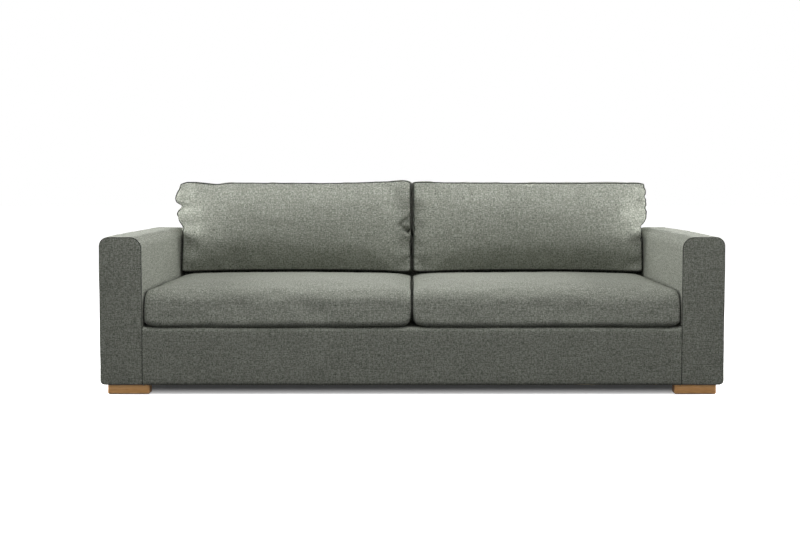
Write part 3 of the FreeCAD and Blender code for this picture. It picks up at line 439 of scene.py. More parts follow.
def sweep_sheet(name, section, ends, spacing, thickness, seam_pull=0.0):
    """A wrapped sheet: a YZ section carried along X between two ends, thickened inwards.

    seam_pull draws the sheet in within a few millimetres of each end, where it is sewn to an arm.
    """
    start, end = ends
    fine = np.array([0, 1.5, 3, 5, 8]) * MM
    count = int((end - start) / spacing)
    xs = np.concatenate([start + fine, np.linspace(start, end, count)[2:-2], end - fine[::-1]])
    xs = np.unique(np.round(xs, 6))
    section = np.asarray(section, float)
    step = np.gradient(section, axis=0)
    step /= np.linalg.norm(step, axis=1)[:, None]
    outward = np.column_stack([-step[:, 1], step[:, 0]])
    nearness = bell(np.minimum(xs - start, end - xs), 2.5 * MM)
    drawn = section[None] - seam_pull * nearness[:, None, None] * outward[None]
    points = np.concatenate([np.broadcast_to(xs[:, None, None], drawn.shape[:2] + (1,)), drawn], axis=2)
    n, m = points.shape[:2]
    index = np.arange(n * m).reshape(n, m)
    quads = np.stack([index[:-1, :-1], index[1:, :-1], index[1:, 1:], index[:-1, 1:]], -1).reshape(-1, 4)
    length = np.concatenate([[0], np.cumsum(np.linalg.norm(np.diff(section, axis=0), axis=1))])
    grid_uv = np.stack(np.broadcast_arrays(xs[:, None], length[None]), axis=-1)
    uvs = np.stack([grid_uv[:-1, :-1], grid_uv[1:, :-1], grid_uv[1:, 1:], grid_uv[:-1, 1:]], axis=2)
    piece = mesh_piece(name, points.reshape(-1, 3), quads, uvs.reshape(-1, 2))
    wall = piece.modifiers.new("wall", "SOLIDIFY")
    wall.thickness = thickness
    wall.offset = -1
    return piece


def rounded_path(corners, radii, spacing):
    """An open path through corners in YZ, each turned by an arc of its radius."""
    corners = [np.array(c, float) for c in corners]
    path = [corners[0]]
    for before, corner, after, radius in zip(corners, corners[1:], corners[2:], radii):
        back, ahead = before - corner, after - corner
        back /= np.linalg.norm(back)
        ahead /= np.linalg.norm(ahead)
        half = math.acos(np.clip(back @ ahead, -1, 1)) / 2
        reach = radius / math.tan(half)
        start, end = corner + back * reach, corner + ahead * reach
        count = max(int(np.linalg.norm(start - path[-1]) / spacing), 1)
        path += [path[-1] * (1 - t) + start * t for t in np.linspace(0, 1, count + 1)[1:]]
        bisector = back + ahead
        centre = corner + bisector / np.linalg.norm(bisector) * radius / math.sin(half)
        leave, arrive = start - centre, end - centre
        turn = math.atan2(leave[0] * arrive[1] - leave[1] * arrive[0], leave @ arrive)
        for t in np.linspace(0, turn, 7)[1:]:
            c, s = math.cos(t), math.sin(t)
            path.append(centre + np.array([c * leave[0] - s * leave[1], s * leave[0] + c * leave[1]]))
    count = max(int(np.linalg.norm(corners[-1] - path[-1]) / spacing), 1)
    path += [path[-1] * (1 - t) + corners[-1] * t for t in np.linspace(0, 1, count + 1)[1:]]
    return np.array(path)


def make_front_border():
    """The padded rail under the seat: up the front, round its top edge and back under the cushions."""
    low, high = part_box("front_border_cover")
    skin = 2 * MM
    turned_under = low.y + 30 * MM
    corners = [(high.y, high.z), (low.y, high.z), (low.y, low.z), (turned_under, low.z)]
    section = rounded_path(corners, (14 * MM, 10 * MM), TIGHT_SPACING)
    up = (section[:, 1] - low.z) / (high.z - low.z)
    front = section[:, 0] < low.y + 3 * MM
    section[:, 0] -= np.where(front, 1.5 * MM * bulge(up), 0)
    piece = sweep_sheet("front_border", section, (low.x, high.x), TIGHT_SPACING, skin, 3 * MM)
    sway(piece, 0.8 * MM, 0.22, 5)
    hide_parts("front_border_cover")
    return piece


def sway(piece, amplitude, length, seed):
    """Adds slow unevenness along the normals, fading out towards the sewn ends."""
    points, out = coordinates(piece), normals(piece)
    low, high = points.min(axis=0), points.max(axis=0)
    inside = part_way(np.minimum(points[:, 0] - low[0], high[0] - points[:, 0]), 0, 50 * MM)
    points += out * (ripple(points, amplitude, length, seed) * inside)[:, None]
    reshape(piece, points)


def make_platform():
    """Cloth over the springs' felt, slack by a few millimetres between its edges."""
    low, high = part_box("deck_cover")
    section = rounded_path([(high.y, high.z), (low.y, high.z)], (), 2 * TIGHT_SPACING)
    share = (section[:, 0] - low.y) / (high.y - low.y)
    section[:, 1] -= 1.5 * MM * bulge(share)
    piece = sweep_sheet("platform_cloth", section, (low.x, high.x), 2 * TIGHT_SPACING, 1.5 * MM)
    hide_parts("deck_cover")
    return piece


def lean(z):
    """Y of the inside back's cloth at a height: 345 mm at 258 mm up, and 119 mm more per metre."""
    return 0.345 + 0.11905 * (z - 0.258)


def make_inside_back():
    """The back's padded front and top with its end panels."""
    low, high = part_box("inside_back_cover")
    rise = high.z - low.z
    corners = [(low.y, low.z), (lean(high.z), high.z), (high.y, high.z), (high.y, low.z)]
    outline = rounded_path(corners, (22 * MM, 3 * MM), TIGHT_SPACING)
    bottom = np.linspace(outline[-1], outline[0], 10)[1:-1]
    outline = np.concatenate([outline, bottom])
    middle = np.array([(low.y + high.y) / 2 + 0.02, low.z + rise / 2])
    insets = np.array([1.0, 0.8, 0.6, 0.4, 0.2, 0.06])
    edge = 4 * MM
    rows = [(1 - k, 0.0) for k in insets]
    turn = np.linspace(0, math.pi / 2, 5)
    rows += [(1 - 0.02 * (1 - math.sin(t)), edge * (1 - math.cos(t))) for t in turn]
    half = (high.x - low.x) / 2
    count = int(2 * half / (2 * TIGHT_SPACING))
    stations = rows + [(1.0, x) for x in np.linspace(edge, 2 * half - edge, count)[1:-1]]
    stations += [(k, 2 * half - x) for k, x in reversed(rows)]
    rings, uvs = [], []
    girth = np.linalg.norm(np.roll(outline, -1, axis=0) - outline, axis=1)
    around = np.concatenate([[0.0], np.cumsum(girth)])
    for scale, x in stations:
        ring = middle + (outline - middle) * scale
        rings.append(np.column_stack([np.full(len(ring), low.x + x), ring]))
        uvs.append(np.column_stack([np.full(len(around), x), around]))
    inside = rings_piece("inside_back", np.array(rings), np.array(uvs))
    points, out = coordinates(inside), normals(inside)
    facing = np.clip(-out[:, 1], 0, 1) * bulge((points[:, 2] - low.z) / rise)
    points += out * (ripple(points, 0.8 * MM, 0.25, 21) + 2 * MM * facing)[:, None]
    points[:, 1] = np.minimum(points[:, 1], high.y)
    reshape(inside, points)
    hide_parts("inside_back_cover")
    return inside


def make_outside_back():
    """The flat sewn panel over the rear of the frame."""
    low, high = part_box("outside_back_cover")
    thickness = 6 * MM
    half = (high.z - low.z) / 2
    stations = cross_stations(high.y - thickness, high.y, half, 2.2 * MM, 0.6 * MM, 2 * TIGHT_SPACING)
    outline = ((low.x + 1 * MM, low.z), (high.x - 1 * MM, high.z), (4 * MM,) * 4)
    rear = carried("outside_back", "y", outline, stations, 2 * TIGHT_SPACING,
                   lambda rows: rows[..., [0, 2, 1]], 1.0 * MM)
    points, out = coordinates(rear), normals(rear)
    points += out * (ripple(points, 0.7 * MM, 0.3, 31) * np.clip(out[:, 1], 0, 1))[:, None]
    reshape(rear, points)
    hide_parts("outside_back_cover")
    return rear


def make_dust_sheet():
    """Lining stapled under the frame: flat at its edges, hanging a little between them."""
    low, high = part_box("dust_cover")
    section = np.column_stack([np.linspace(high.y, low.y, 40), np.full(40, high.z)])
    piece = sweep_sheet("dust_sheet", section, (low.x, high.x), 40 * MM, 0.6 * MM)
    points = coordinates(piece)
    across = (points[:, 0] - low.x) / (high.x - low.x)
    along = (points[:, 1] - low.y) / (high.y - low.y)
    points[:, 2] -= 0.2 * MM + 6 * MM * bulge(across) * bulge(along) ** 2
    reshape(piece, points)
    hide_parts("dust_cover")
    return piece


# --- loose cushions -----------------------------------------------------------------------------

CUSHION_SPACING = 14 * MM  # between the points of a cushion before it is subdivided
ARM_FACE = 1.0345  # |X| where a cushion stops at an arm, 0.5 mm short of it
MID_FACE = 0.5 * MM  # |X| where a back cushion stops at its neighbour
ARM_TOP = 0.612  # Z from which a back cushion stands clear of the arm


def box_grid(name, low, high, spacing, wrap):
    """A closed box of gridded faces whose shared edges are welded, with UVs in metres.

    wrap says which way the cloth runs: "x" for one strip that goes over the top and front along X,
    "face" for separate panels.
    """
    low, high = np.asarray(low, float), np.asarray(high, float)
    counts = np.maximum(np.round((high - low) / spacing).astype(int), 2)
    stride = np.array([(counts[1] + 1) * (counts[2] + 1), counts[2] + 1, 1])
    keys, uvs = [], []
    for axis in range(3):
        u, v = [a for a in range(3) if a != axis]
        a, b = np.meshgrid(np.arange(counts[u] + 1), np.arange(counts[v] + 1), indexing="ij")
        for end in (0, counts[axis]):
            lattice = np.zeros(a.shape + (3,), int)
            lattice[..., u], lattice[..., v], lattice[..., axis] = a, b, end
            key = lattice @ stride
            place = low + lattice * (high - low) / counts
            flat = panel_uv(place, axis, end > 0, low, high, wrap)
            outward = (end > 0) == (axis != 1)
            keys.append(corners_of(key, outward))
            uvs.append(corners_of(flat, outward))
    keys = np.concatenate(keys)
    used, index = np.unique(keys, return_inverse=True)
    lattice = np.column_stack([used // stride[0], used % stride[0] // stride[1], used % stride[1]])
    points = low + lattice * (high - low) / counts
    return mesh_piece(name, points, index.reshape(keys.shape), np.concatenate(uvs).reshape(-1, 2))


def corners_of(grid, outward):
    """The four corner values of every cell of a grid, in the order that faces outwards."""
    ring = [grid[:-1, :-1], grid[1:, :-1], grid[1:, 1:], grid[:-1, 1:]]
    if not outward:
        ring.reverse()
    stacked = np.stack(ring, axis=2)
    return stacked.reshape((-1,) + stacked.shape[2:])


def panel_uv(place, axis, far, low, high, wrap):
    """Cloth coordinates of one face of a box: its own two axes, or a run on from the front."""
    x, y, z = place[..., 0], place[..., 1], place[..., 2]
    if axis == 0:
        return np.stack([y + 3.1, z], axis=-1)
    if axis == 1:
        run = z if not far or wrap == "face" else high[2] + (high[1] - low[1]) + (high[2] - z)
        return np.stack([x, run + (0.0 if not far or wrap == "x" else 5.3)], axis=-1)
    if wrap == "x":
        return np.stack([x, high[2] + y - low[1] if far else low[2] - (y - low[1])], axis=-1)
    return np.stack([x, y + 7.7], axis=-1)


def round_section(points, axes, low, high, radii):
    """Turns a box's square edges along one axis into arcs.

    In each corner square of the section, a point keeps its largest offset as its distance from the
    arc's centre, so that squares become quarter discs. radii are for (low, low), (high, low),
    (high, high) and (low, high).
    """
    u, v = axes
    for (su, sv), radius in zip(((-1, -1), (1, -1), (1, 1), (-1, 1)), radii):
        centre = np.array([
            (high[u] - radius) if su > 0 else (low[u] + radius),
            (high[v] - radius) if sv > 0 else (low[v] + radius),
        ])
        offset = points[:, [u, v]] - centre
        inside = (offset[:, 0] * su > 0) & (offset[:, 1] * sv > 0)
        own = offset[inside]
        longest = np.abs(own).max(axis=1)
        points[np.ix_(np.flatnonzero(inside), [u, v])] = (
            centre + own * (longest / np.linalg.norm(own, axis=1))[:, None]
        )
    return points


def draw_in_ends(points, axis, reach, insets):
    """Rounds a box's two ends: the section shrinks there by its insets along a quarter ellipse.

    insets gives, for each other axis, how much the section loses at both sides on the end itself.
    """
    low, high = points.min(axis=0), points.max(axis=0)
    middle, half = (low + high) / 2, (high - low) / 2
    gap = np.minimum(points[:, axis] - low[axis], high[axis] - points[:, axis])
    share = 1 - np.sqrt(1 - (1 - part_way(gap, 0, reach)) ** 2)
    for other, inset in insets.items():
        scale = 1 - share * inset / half[other]
        points[:, other] = middle[other] + (points[:, other] - middle[other]) * scale


def inflate(piece, gather, pressure, cap, shrink):
    """Blows the sewn cover up as cloth, no point further than about cap, and applies the result.

    The cover is cut larger by shrink along each axis, and its seams draw back by as much, so that
    the panels between them are left fuller than their outline.
    """
    scene, frames = bpy.context.scene, 22
    group = piece.vertex_groups.new(name="gathered")
    for share in np.unique(gather[gather > 0]):
        group.add(np.flatnonzero(gather == share).tolist(), float(share), "REPLACE")
    before = coordinates(piece)
    middle = (before.min(axis=0) + before.max(axis=0)) / 2
    reshape(piece, middle + (before - middle) * (1 + np.asarray(shrink)))
    cloth = piece.modifiers.new("inflate", "CLOTH")
    settings = cloth.settings
    settings.quality = 6
    settings.mass = 0.001
    settings.air_damping = 2.0
    settings.tension_stiffness = 18
    settings.compression_stiffness = 12
    settings.shear_stiffness = 5
    settings.bending_stiffness = 3.0
    settings.use_pressure = True
    settings.uniform_pressure_force = pressure
    settings.vertex_group_shrink = "gathered"
    settings.shrink_max = max(shrink)
    settings.effector_weights.gravity = 0
    cloth.point_cache.frame_start = 1
    cloth.point_cache.frame_end = frames
    for frame_number in range(1, frames + 1):
        scene.frame_set(frame_number)
    graph = bpy.context.evaluated_depsgraph_get()
    after = np.empty(before.size)
    piece.evaluated_get(graph).data.vertices.foreach_get("co", after)
    piece.modifiers.remove(cloth)
    piece.vertex_groups.remove(group)
    scene.frame_set(1)
    shift = after.reshape(-1, 3) - before
    length = np.linalg.norm(shift, axis=1)[:, None] + 1e-9
    reshape(piece, before + shift / length * cap * np.tanh(length / cap))


def subdivide(piece):
    """One Catmull-Clark subdivision, applied."""
    smooth = piece.modifiers.new("smooth", "SUBSURF")
    smooth.levels = smooth.render_levels = 1
    graph = bpy.context.evaluated_depsgraph_get()
    mesh = bpy.data.meshes.new_from_object(piece.evaluated_get(graph))
    piece.modifiers.remove(smooth)
    old, piece.data = piece.data, mesh
    bpy.data.meshes.remove(old)
    mesh.name = piece.name


def press(values, limit, way, soft):
    """Values pressed flat against a limit: those within soft of it ease up to it and stop."""
    room = (limit - values) * way
    left_over = soft * np.exp(np.minimum(room - soft, 0) / soft)
    return np.where(room < soft, limit - way * left_over * 0.999, values)


def near_line(points, start, end):
    """Each point's distance from a segment, and how far along it that is from 0 to 1."""
    start, end = np.asarray(start, float), np.asarray(end, float)
    run = end - start
    share = np.clip((points - start) @ run / (run @ run), 0, 1)
    return np.linalg.norm(points - start - share[:, None] * run, axis=1), share


def tuck(points, out, start, end, width, depth):
    """Folds the cloth in along a segment, deepest at its start, with a soft roll on either side."""
    gap, share = near_line(points, start, end)
    fade = (1 - share) ** 0.8
    groove = -depth * bell(gap, width)
    roll = 0.4 * depth * bell(gap - 2.1 * width, 1.1 * width)
    return points + out * ((groove + roll) * fade)[:, None]


def seam_loops(piece):
    """Closed runs of seam points, found by walking the edges whose two ends both lie on a seam."""
    group = piece.vertex_groups["seam"].index
    weight = np.zeros(len(piece.data.vertices))
    for vertex in piece.data.vertices:
        for member in vertex.groups:
            if member.group == group:
                weight[vertex.index] = member.weight
    on_seam = weight > 0.99
    ends = np.empty(len(piece.data.edges) * 2, np.int32)
    piece.data.edges.foreach_get("vertices", ends)
    ends = ends.reshape(-1, 2)
    linked = {}
    for a, b in ends[on_seam[ends].all(axis=1)].tolist():
        linked.setdefault(a, []).append(b)
        linked.setdefault(b, []).append(a)
    loops, seen = [], set()
    for first in sorted(linked):
        if first in seen:
            continue
        run, here = [first], first
        seen.add(first)
        while True:
            ahead = [n for n in linked[here] if n not in seen]
            if not ahead:
                break
            here = ahead[0]
            seen.add(here)
            run.append(here)
        loops.append(run)
    return loops


def thread_tube(name, runs, radius):
    """Six-sided closed tubes along paths.

    Each ring is the path's point plus radius times (cos t) out + (sin t) across. runs holds
    (path, out) pairs, where out points away from the cushion.
    """
    turn = np.linspace(0, 2 * math.pi, 7)[:-1]
    points, quads, uvs, count = [], [], [], 0
    for path, out in runs:
        ahead = np.roll(path, -1, axis=0) - np.roll(path, 1, axis=0)
        ahead /= np.linalg.norm(ahead, axis=1)[:, None]
        across = np.cross(ahead, out)
        across /= np.linalg.norm(across, axis=1)[:, None]
        upright = np.cross(across, ahead)
        cosine, sine = np.cos(turn)[None, :, None], np.sin(turn)[None, :, None]
        spokes = cosine * upright[:, None] + sine * across[:, None]
        points.append((path[:, None] + radius * spokes).reshape(-1, 3))
        index = count + np.arange(len(path) * 6).reshape(-1, 6)
        beside, along = np.roll(index, -1, axis=1), np.roll(index, -1, axis=0)
        quads.append(np.stack([index, beside, np.roll(beside, -1, axis=0), along], -1).reshape(-1, 4))
        length = np.arange(len(path))[:, None] * 7 * MM
        corner = np.stack(np.broadcast_arrays(length, turn[None] * radius), axis=-1)
        uvs.append(np.repeat(corner.reshape(-1, 1, 2), 4, axis=1).reshape(-1, 2))
        count += len(path) * 6
    piece = mesh_piece(name, np.concatenate(points), np.concatenate(quads), np.concatenate(uvs))
    merge(piece, 1e-7)
    return piece


def sew(piece, body, depth, radius):
    """Draws the seams in and lays a line of thread along each."""
    loops = seam_loops(piece)
    points, out = coordinates(piece), normals(piece)
    for run in loops:
        points[run] -= out[run] * depth
    reshape(piece, points)
    # With their dark thread finish, these tubes paint the shade of each seam's groove as a visible line.
    runs = [(points[run] + out[run] * radius * 0.4, out[run]) for run in loops]
    thread = thread_tube(f"{piece.name}_seam", runs, radius)
    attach(thread, body)
    return thread


def make_core(node, start, end, axes, radii, inset, shift=None):
    """The foam inside a cushion: a rounded block that stands back from its cover on every side."""
    start, end = np.asarray(start) + inset, np.asarray(end) - inset
    piece = box_grid(f"{node}_foam", start, end, 40 * MM, "face")
    points = round_section(coordinates(piece), axes, start, end, radii)
    if shift:
        points[:, 1] += shift(points[:, 2])
    reshape(piece, points)
    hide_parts(node)
    return piece


def hold_seam(piece, seam):
    """Keeps the seam as a vertex group that lasts through the subdivision."""
    group = piece.vertex_groups.new(name="seam")
    group.add(np.flatnonzero(seam).tolist(), 1.0, "REPLACE")


def seam_points(points, axis):
    """Which points of an untouched box lie on the outline of its two faces across an axis."""
    edge = np.isclose(points, points.min(axis=0)) | np.isclose(points, points.max(axis=0))
    others = [a for a in range(3) if a != axis]
    return edge[:, axis] & edge[:, others].any(axis=1)


def contact_height(x, start, end):
    """Height where a back cushion rests on a seat cushion: 404 mm at its ends, 420.5 mm halfway."""
    return 0.404 + 0.0165 * bulge((x - start) / (end - start)) ** 0.8


def make_seat_cushion(label, side):
    """A seat cushion: one strip over the top and front, end panels, blown up and pressed in place."""
    low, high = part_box(f"seat_cushion_{label}_cover")
    start = (low.x + 1 * MM, low.y + 3 * MM, low.z + 3 * MM)
    flat_top = 0.401
    end = (high.x - 1 * MM, high.y - 3 * MM, flat_top)
    piece = box_grid(f"seat_cushion_cloth_{label}", start, end, CUSHION_SPACING, "x")
    points = coordinates(piece)
    seam = seam_points(points, 0)
    round_section(points, (1, 2), start, end, (15 * MM, 26 * MM, 34 * MM, 60 * MM))
    draw_in_ends(points, 0, 55 * MM, {1: 12 * MM, 2: 11 * MM})
    reshape(piece, points)
    reshape(piece, points + normals(piece) * ripple(points, 0.5 * MM, 0.3, 41 + side)[:, None])
    inflate(piece, seam.astype(float), 0.3, 34 * MM, (0.003, 0.003, 0.003))
    hold_seam(piece, seam)
    subdivide(piece)
    points = coordinates(piece)
    # Its lower front corners draw in, more beside the other cushion than beside the arm.
    inner, outer = (high.x, low.x) if side < 0 else (low.x, high.x)
    lower_front = part_way(points[:, 2], 0.335, 0.255) ** 2
    lower_front *= part_way(points[:, 1], -0.30, -0.42)
    for edge, way, pull in ((inner, side, 16 * MM), (outer, -side, 8 * MM)):
        nearness = np.exp(-np.abs(points[:, 0] - edge) / 0.07)
        points[:, 0] += way * pull * lower_front * nearness
    # Its ends are pressed flat, and the bottom of its front stands out over the rail.
    across = spread(points[:, 0] * side, -0.5 * MM, ARM_FACE + 1 * MM)
    points[:, 0] = side * press(press(across, 0.6 * MM, -1, 3 * MM), ARM_FACE, 1, 2 * MM)
    flare = part_way(points[:, 2], 0.345, 0.285) * part_way(points[:, 1], -0.40, -0.46)
    points[:, 1] -= 12 * MM * flare
    # Front, rear, underside and top stop at what they touch.
    points[:, 1] = press(points[:, 1], low.y - 20 * MM, -1, 6 * MM)
    points[:, 1] += 7 * MM * part_way(points[:, 1], 0.25, 0.33)
    points[:, 1] = press(points[:, 1], high.y, 1, 2 * MM)
    points[:, 2] = press(points[:, 2], low.z + 0.2 * MM, -1, 3 * MM)
    contact = contact_height(points[:, 0], low.x, high.x)
    behind = part_way(points[:, 1], 0.02, 0.14)
    points[:, 2] = press(points[:, 2], contact - 1 * MM + (1 - behind) * 5 * MM, 1, 5 * MM)
    reshape(piece, points)
    body = f"seat_cushion_{label}"
    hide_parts(f"seat_cushion_{label}_cover")
    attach(piece, body)
    core = make_core(f"seat_cushion_{label}_core", start, end, (1, 2), (40 * MM,) * 4, 18 * MM)
    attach(core, body)
    return (piece, sew(piece, body, 1.5 * MM, 1.7 * MM)), core


def notch(points, edge, height, width, depth):
    """Draws one end of a cushion in by depth round a height, as a tight stitch does to a side seam."""
    near_end = np.exp(-np.abs(points[:, 0] - edge) / 0.035)
    near_height = bell(points[:, 2] - height, width)
    points[:, 0] -= math.copysign(depth, edge) * (near_end * near_height)
    return points


def spread(values, low, high):
    """Values stretched evenly until all but the outermost hundredth lie between low and high."""
    least, most = np.quantile(values, (0.005, 0.995))
    return low + (values - least) * (high - low) / (most - least)


def pucker(points, out, x, way, front, heights, reach, depth):
    """Short gathers of uneven length and depth that run in from a side seam at the given heights."""
    for n, height in enumerate(heights):
        length = reach * (0.7 + 0.6 * ((n * 7) % 5) / 4)
        rise = 0.006 * ((n * 3) % 5 - 2)
        start, end = (x, front, height), (x + way * length, front, height + rise)
        points = tuck(points, out, start, end, 7.5 * MM, depth * (0.7 + 0.5 * ((n * 4) % 3) / 2))
    return points


def zip_channel(points, low, high):
    """Heights with a shallow channel pressed up into the underside, where the zip of this box lies."""
    aside = np.abs(points[:, 1] - (low.y + high.y) / 2) - (high.y - low.y) / 2
    beyond = np.maximum(low.x - points[:, 0], points[:, 0] - high.x)
    share = eased(1 - np.maximum(aside / 0.022, (beyond - 0.012) / 0.03))
    roof = high.z - 0.3 * MM
    heights = points[:, 2]
    return np.where(heights < roof, heights + (roof - heights) * share, heights)


# Where a back cushion's top edge sinks or stands up: place along X, half width and rise in mm.
TOP_LINE = {
    "left": ((-0.880, 0.055, -8), (-0.045, 0.040, 6)),
    "right": ((0.970, 0.060, -4), (0.500, 0.200, 2)),
}


def crumple(points, out, label, inner, outer, front):
    """Folds the side seams of a back cushion as it has been sat on, each cushion in its own way.

    Returns the points, and how far the cushion's ear swells over the arm beyond the rest of it.
    """
    if label == "left":
        tip = (inner - 0.068, front - 0.03, 0.623)
        points = tuck(points, out, (inner, front, 0.587), tip, 10 * MM, 26 * MM)
        points = tuck(points, out, tip, (inner, front - 0.01, 0.662), 9 * MM, 13 * MM)
        inward = (outer + 0.17, front - 0.04, 0.670)
        points = tuck(points, out, (outer, front, 0.704), inward, 13 * MM, 15 * MM)
        points = notch(points, outer, 0.706, 11 * MM, 19 * MM)
        ear = 14 * MM * bell(points[:, 2] - 0.748, 24 * MM)
        points = pucker(points, out, outer, 1, front, (0.790, 0.655, 0.610), 0.05, 7 * MM)
        heights = (0.780, 0.725, 0.670, 0.540, 0.480)
        return pucker(points, out, inner, -1, front, heights, 0.045, 6 * MM), ear
    inward = (inner + 0.055, front, 0.598)
    points = tuck(points, out, (inner, front, 0.606), inward, 8 * MM, 12 * MM)
    heights = (0.770, 0.700, 0.650, 0.530, 0.475)
    points = pucker(points, out, inner, 1, front, heights, 0.04, 5 * MM)
    heights = (0.795, 0.750, 0.700, 0.615, 0.560)
    return pucker(points, out, outer, -1, front, heights, 0.06, 9 * MM), 0.0


def crown(points, out, up, along):
    """Pads the front panel out by 50 mm at 0.62 of its height, falling off faster above than below."""
    top = 0.62
    above = up > top
    gap = np.where(above, (up - top) / (1 - top), (top - up) / top)
    profile = 1 - gap ** np.where(above, 2.7, 2.0)
    points[:, 1] -= 50 * MM * profile * bulge(along) * np.clip(-out[:, 1], 0, 1)


def fit_between(points, side, ear):
    """|X| of a back cushion's points, pressed against its neighbour and the arm.

    Above the arm it swells over it by up to 18 mm, and by ear more. Its front seams stand back from
    what the cushion touches, by 7 mm from the neighbour and by 5 mm from the arm.
    """
    over_arm = part_way(points[:, 2], ARM_TOP, ARM_TOP + 45 * MM)
    fullness = 18 - 4 * part_way(points[:, 2], 0.68, 0.76)
    swell = fullness * MM * eased(over_arm) + ear
    across = spread(points[:, 0] * side, -6 * MM, 1.038)
    across = press(across, MID_FACE, -1, 3 * MM)
    across += swell * part_way(across, 0.90, 1.02)
    limit = ARM_FACE + swell
    across = press(across, limit, 1, 3 * MM)
    at_front = part_way(points[:, 1], -55 * MM, -105 * MM)
    across += 7 * MM * at_front * np.exp(-np.clip(across, 0, 1) / 0.018)
    across -= 5 * MM * at_front * np.exp(-np.clip(limit - across, 0, 1) / 0.018) * (1 - over_arm)
    return across


def make_back_cushion(label, side):
    """A back cushion: a front and a rear panel joined by a gusset, leaning on the inside back.

    Its side seams are gathered more than its top and bottom ones. It is blown up and folded
    upright, with its rear at Y = 0, and then set back by as much as the inside back leans.
    """
    low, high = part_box(f"back_cushion_{label}_cover")
    depth = 0.108
    inner, outer = (-2 * MM, -1.034) if side < 0 else (2 * MM, 1.034)
    left, right = sorted((inner, outer))
    start = (left + 3 * MM, -depth, low.z - 10 * MM)
    end = (right - 3 * MM, -8 * MM, high.z - 9 * MM)
    piece = box_grid(f"back_cushion_cloth_{label}", start, end, CUSHION_SPACING, "face")
    points = coordinates(piece)
    seam = seam_points(points, 1)
    upright = np.isclose(points[:, 0], start[0]) | np.isclose(points[:, 0], end[0])
    gather = np.where(seam, np.where(upright, 1.0, 0.25), 0.0)
    upper = (38 * MM, 20 * MM) if side < 0 else (14 * MM, 34 * MM)
    round_section(points, (0, 2), start, end, (16 * MM, 16 * MM, upper[1], upper[0]))
    reshape(piece, points)
    reshape(piece, points + normals(piece) * ripple(points, 0.7 * MM, 0.25, 61 + side)[:, None])
    inflate(piece, gather, 0.5, 70 * MM, (0.008, 0.0, 0.03))
    hold_seam(piece, seam)
    subdivide(piece)
    points, out = coordinates(piece), normals(piece)
    up = part_way(points[:, 2], low.z, high.z)
    along = part_way(points[:, 0], left, right)
    crown(points, out, up, along)
    points[:, 2] = press(points[:, 2], high.z + (1 + 3 * bulge(along)) * MM, 1, 9 * MM)
    points, ear = crumple(points, out, label, inner, outer, -depth)
    near_top = part_way(points[:, 2], 0.74, 0.80)
    for place, width, rise in TOP_LINE[label]:
        points[:, 2] += rise * MM * near_top * bell(points[:, 0] - place, width)
    points[:, 0] = side * fit_between(points, side, ear)
    points[:, 1] = press(points[:, 1], -1.5 * MM, 1, 10 * MM)
    contact = contact_height(points[:, 0], low.x, high.x)
    points[:, 2] = press(points[:, 2], contact, -1, 8 * MM)
    points[:, 1] += lean(points[:, 2])
    points[:, 2] = zip_channel(points, *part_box(f"back_cushion_{label}_zip"))
    reshape(piece, points)
    body = f"back_cushion_{label}"
    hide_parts(f"back_cushion_{label}_cover")
    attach(piece, body)
    core = make_core(f"back_cushion_{label}_core", start, end, (0, 2), (50 * MM,) * 4, 26 * MM, lean)
    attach(core, body)
    return (piece, sew(piece, body, 2.0 * MM, 2.9 * MM)), core


# --- the room -----------------------------------------------------------------------------------

def make_floor():
    """A white studio floor that glows, with a painted shadow: its glow is full beyond the sofa's
    footprint and fades to dark below it.
    """
    bpy.ops.mesh.primitive_plane_add(size=60, location=(0, 0, 0))
    floor = bpy.context.object
    floor.name = "floor"
    material, tree, shader = blank("studio_floor", Base_Color=(0.9, 0.9, 0.9, 1), Roughness=0.9,
                                   Specular_IOR_Level=0.0)
    shader.inputs["Emission Color"].default_value = (1, 1, 1, 1)
    place = add(tree, "SeparateXYZ", {"Vector": add(tree, "TexCoord").outputs["Object"]})
    beyond = []
    half_footprint = {"X": 1.16, "Y": 0.45}
    for socket, half in half_footprint.items():
        size = add(tree, "Math", {0: place.outputs[socket]}, operation="ABSOLUTE").outputs[0]
        beyond.append(add(tree, "Math", {0: size, 1: half}, operation="SUBTRACT").outputs[0])
    furthest = add(tree, "Math", {0: beyond[0], 1: beyond[1]}, operation="MAXIMUM").outputs[0]
    # Painted shadow: the glow is 0.035 from 0.13 m inside the sofa's footprint and climbs to full
    # strength 0.15 m outside it.
    painted_shadow_glow = add(tree, "MapRange", {
        "Value": furthest, "From Min": -0.13, "From Max": 0.15, "To Min": 0.035, "To Max": 1.0,
    }, interpolation_type="SMOOTHSTEP")
    tree.links.new(painted_shadow_glow.outputs["Result"], shader.inputs["Emission Strength"])
    floor.data.materials.append(material)
    floor.visible_diffuse = False


def softbox(name, place, target, size, power, fan=180):
    """A rectangular area light turned towards a target; its light fans out by an angle in degrees."""
    light = bpy.data.lights.new(name, "AREA")
    light.shape = "RECTANGLE"
    light.size, light.size_y = size
    light.energy = power
    light.spread = math.radians(fan)
    lamp = bpy.data.objects.new(name, light)
    lamp.location = place
    lamp.rotation_euler = (Vector(target) - Vector(place)).to_track_quat("-Z", "Y").to_euler()
    bpy.context.scene.collection.objects.link(lamp)
    lamp.visible_camera = False


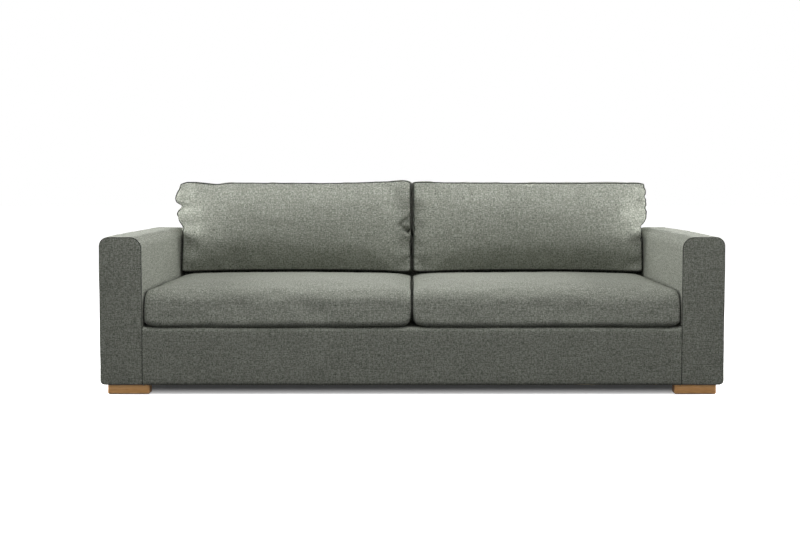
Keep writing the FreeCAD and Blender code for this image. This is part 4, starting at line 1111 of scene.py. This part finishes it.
def make_lights():
    """A broad light overhead, one to each side, weak ones at front and rear, in a white room.

    A narrow wash from the front and above falls on the tops of the back cushions.
    """
    softbox("overhead", (0, -1.5, 3.1), (0, 0.0, 0.3), (4.6, 2.0), 74)
    for label, side in SIDES.items():
        softbox(f"{label}_side", (3.2 * side, 0.1, 1.2), (-0.9 * side, -0.1, 0.5), (1.0, 1.2), 104)
    softbox("front_fill", (0, -5.2, 2.0), (0, 0, 0.4), (4.0, 1.5), 19)
    softbox("rear_fill", (0, 5.0, 2.2), (0, 0, 0.4), (4.0, 1.5), 45)
    softbox("back_wash", (0, -2.6, 3.0), (0, 0.3, 1.12), (2.6, 0.4), 2.2, 15)
    world = bpy.data.worlds.new("white_room")
    bpy.context.scene.world = world
    world.use_nodes = True
    tree = world.node_tree
    tree.nodes.clear()
    seen = add(tree, "Background", {"Color": (1, 1, 1, 1), "Strength": 1.0})
    view = add(tree, "TexCoord").outputs["Generated"]
    height = add(tree, "SeparateXYZ", {"Vector": view}).outputs["Z"]
    level = add(tree, "MapRange", {
        "Value": height, "From Min": -0.2, "From Max": 0.6, "To Min": 0.02, "To Max": 0.20,
    })
    felt = add(tree, "Background", {"Color": (1, 1, 1, 1), "Strength": level.outputs["Result"]})
    which = add(tree, "LightPath").outputs["Is Camera Ray"]
    mix = add(tree, "MixShader", {"Fac": which})
    tree.links.new(felt.outputs[0], mix.inputs[1])
    tree.links.new(seen.outputs[0], mix.inputs[2])
    tree.links.new(mix.outputs[0], add(tree, "OutputWorld").inputs["Surface"])


def make_camera():
    """A level-standing viewer's camera in front of the sofa, tipped down a little."""
    data = bpy.data.cameras.new("camera")
    data.sensor_width = 36
    data.lens = 51.5
    data.shift_x = -0.0150
    data.shift_y = -0.036
    camera = bpy.data.objects.new("camera", data)
    camera.location = (0, -4.84, 0.826)
    camera.rotation_euler = (math.radians(90 - 2.9), 0, 0)
    bpy.context.scene.collection.objects.link(camera)
    bpy.context.scene.camera = camera


# --- the scene ----------------------------------------------------------------------------------

def dress(piece, finishes, slot):
    """Gives a piece the finish that belongs to the record's slot."""
    piece.data.materials.clear()
    piece.data.materials.append(finishes[slot])


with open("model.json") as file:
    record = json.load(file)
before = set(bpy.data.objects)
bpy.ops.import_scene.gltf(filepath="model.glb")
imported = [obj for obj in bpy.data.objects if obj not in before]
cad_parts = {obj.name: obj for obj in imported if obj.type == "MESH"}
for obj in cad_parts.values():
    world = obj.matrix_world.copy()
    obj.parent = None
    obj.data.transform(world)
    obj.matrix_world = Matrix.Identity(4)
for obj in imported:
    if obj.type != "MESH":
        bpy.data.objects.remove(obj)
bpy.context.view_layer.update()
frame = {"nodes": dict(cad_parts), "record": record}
scene = bpy.context.scene
scene.view_settings.view_transform = "Standard"
scene.render.fps = 24

finishes = make_finishes()
for part in frame["record"]["subparts"]:
    dress(frame["nodes"][part["node"]], finishes, part["material_slot"])

fabric = []
for label, side in SIDES.items():
    fabric += make_arm(label, side)
    for make_cushion in (make_seat_cushion, make_back_cushion):
        covers, core = make_cushion(label, side)
        fabric += covers
        dress(core, finishes, "foam")
for piece in (make_front_border(), make_platform(), make_inside_back(), make_outside_back()):
    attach(piece, "frame")
    fabric.append(piece)
for piece in fabric:
    # Seam tubes take the dark thread finish, which paints the shade along each seam's groove.
    dress(piece, finishes, "thread" if piece.name.endswith("_seam") else "upholstery")
dust = make_dust_sheet()
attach(dust, "frame")
dress(dust, finishes, "lining")

make_floor()
make_lights()
make_camera()
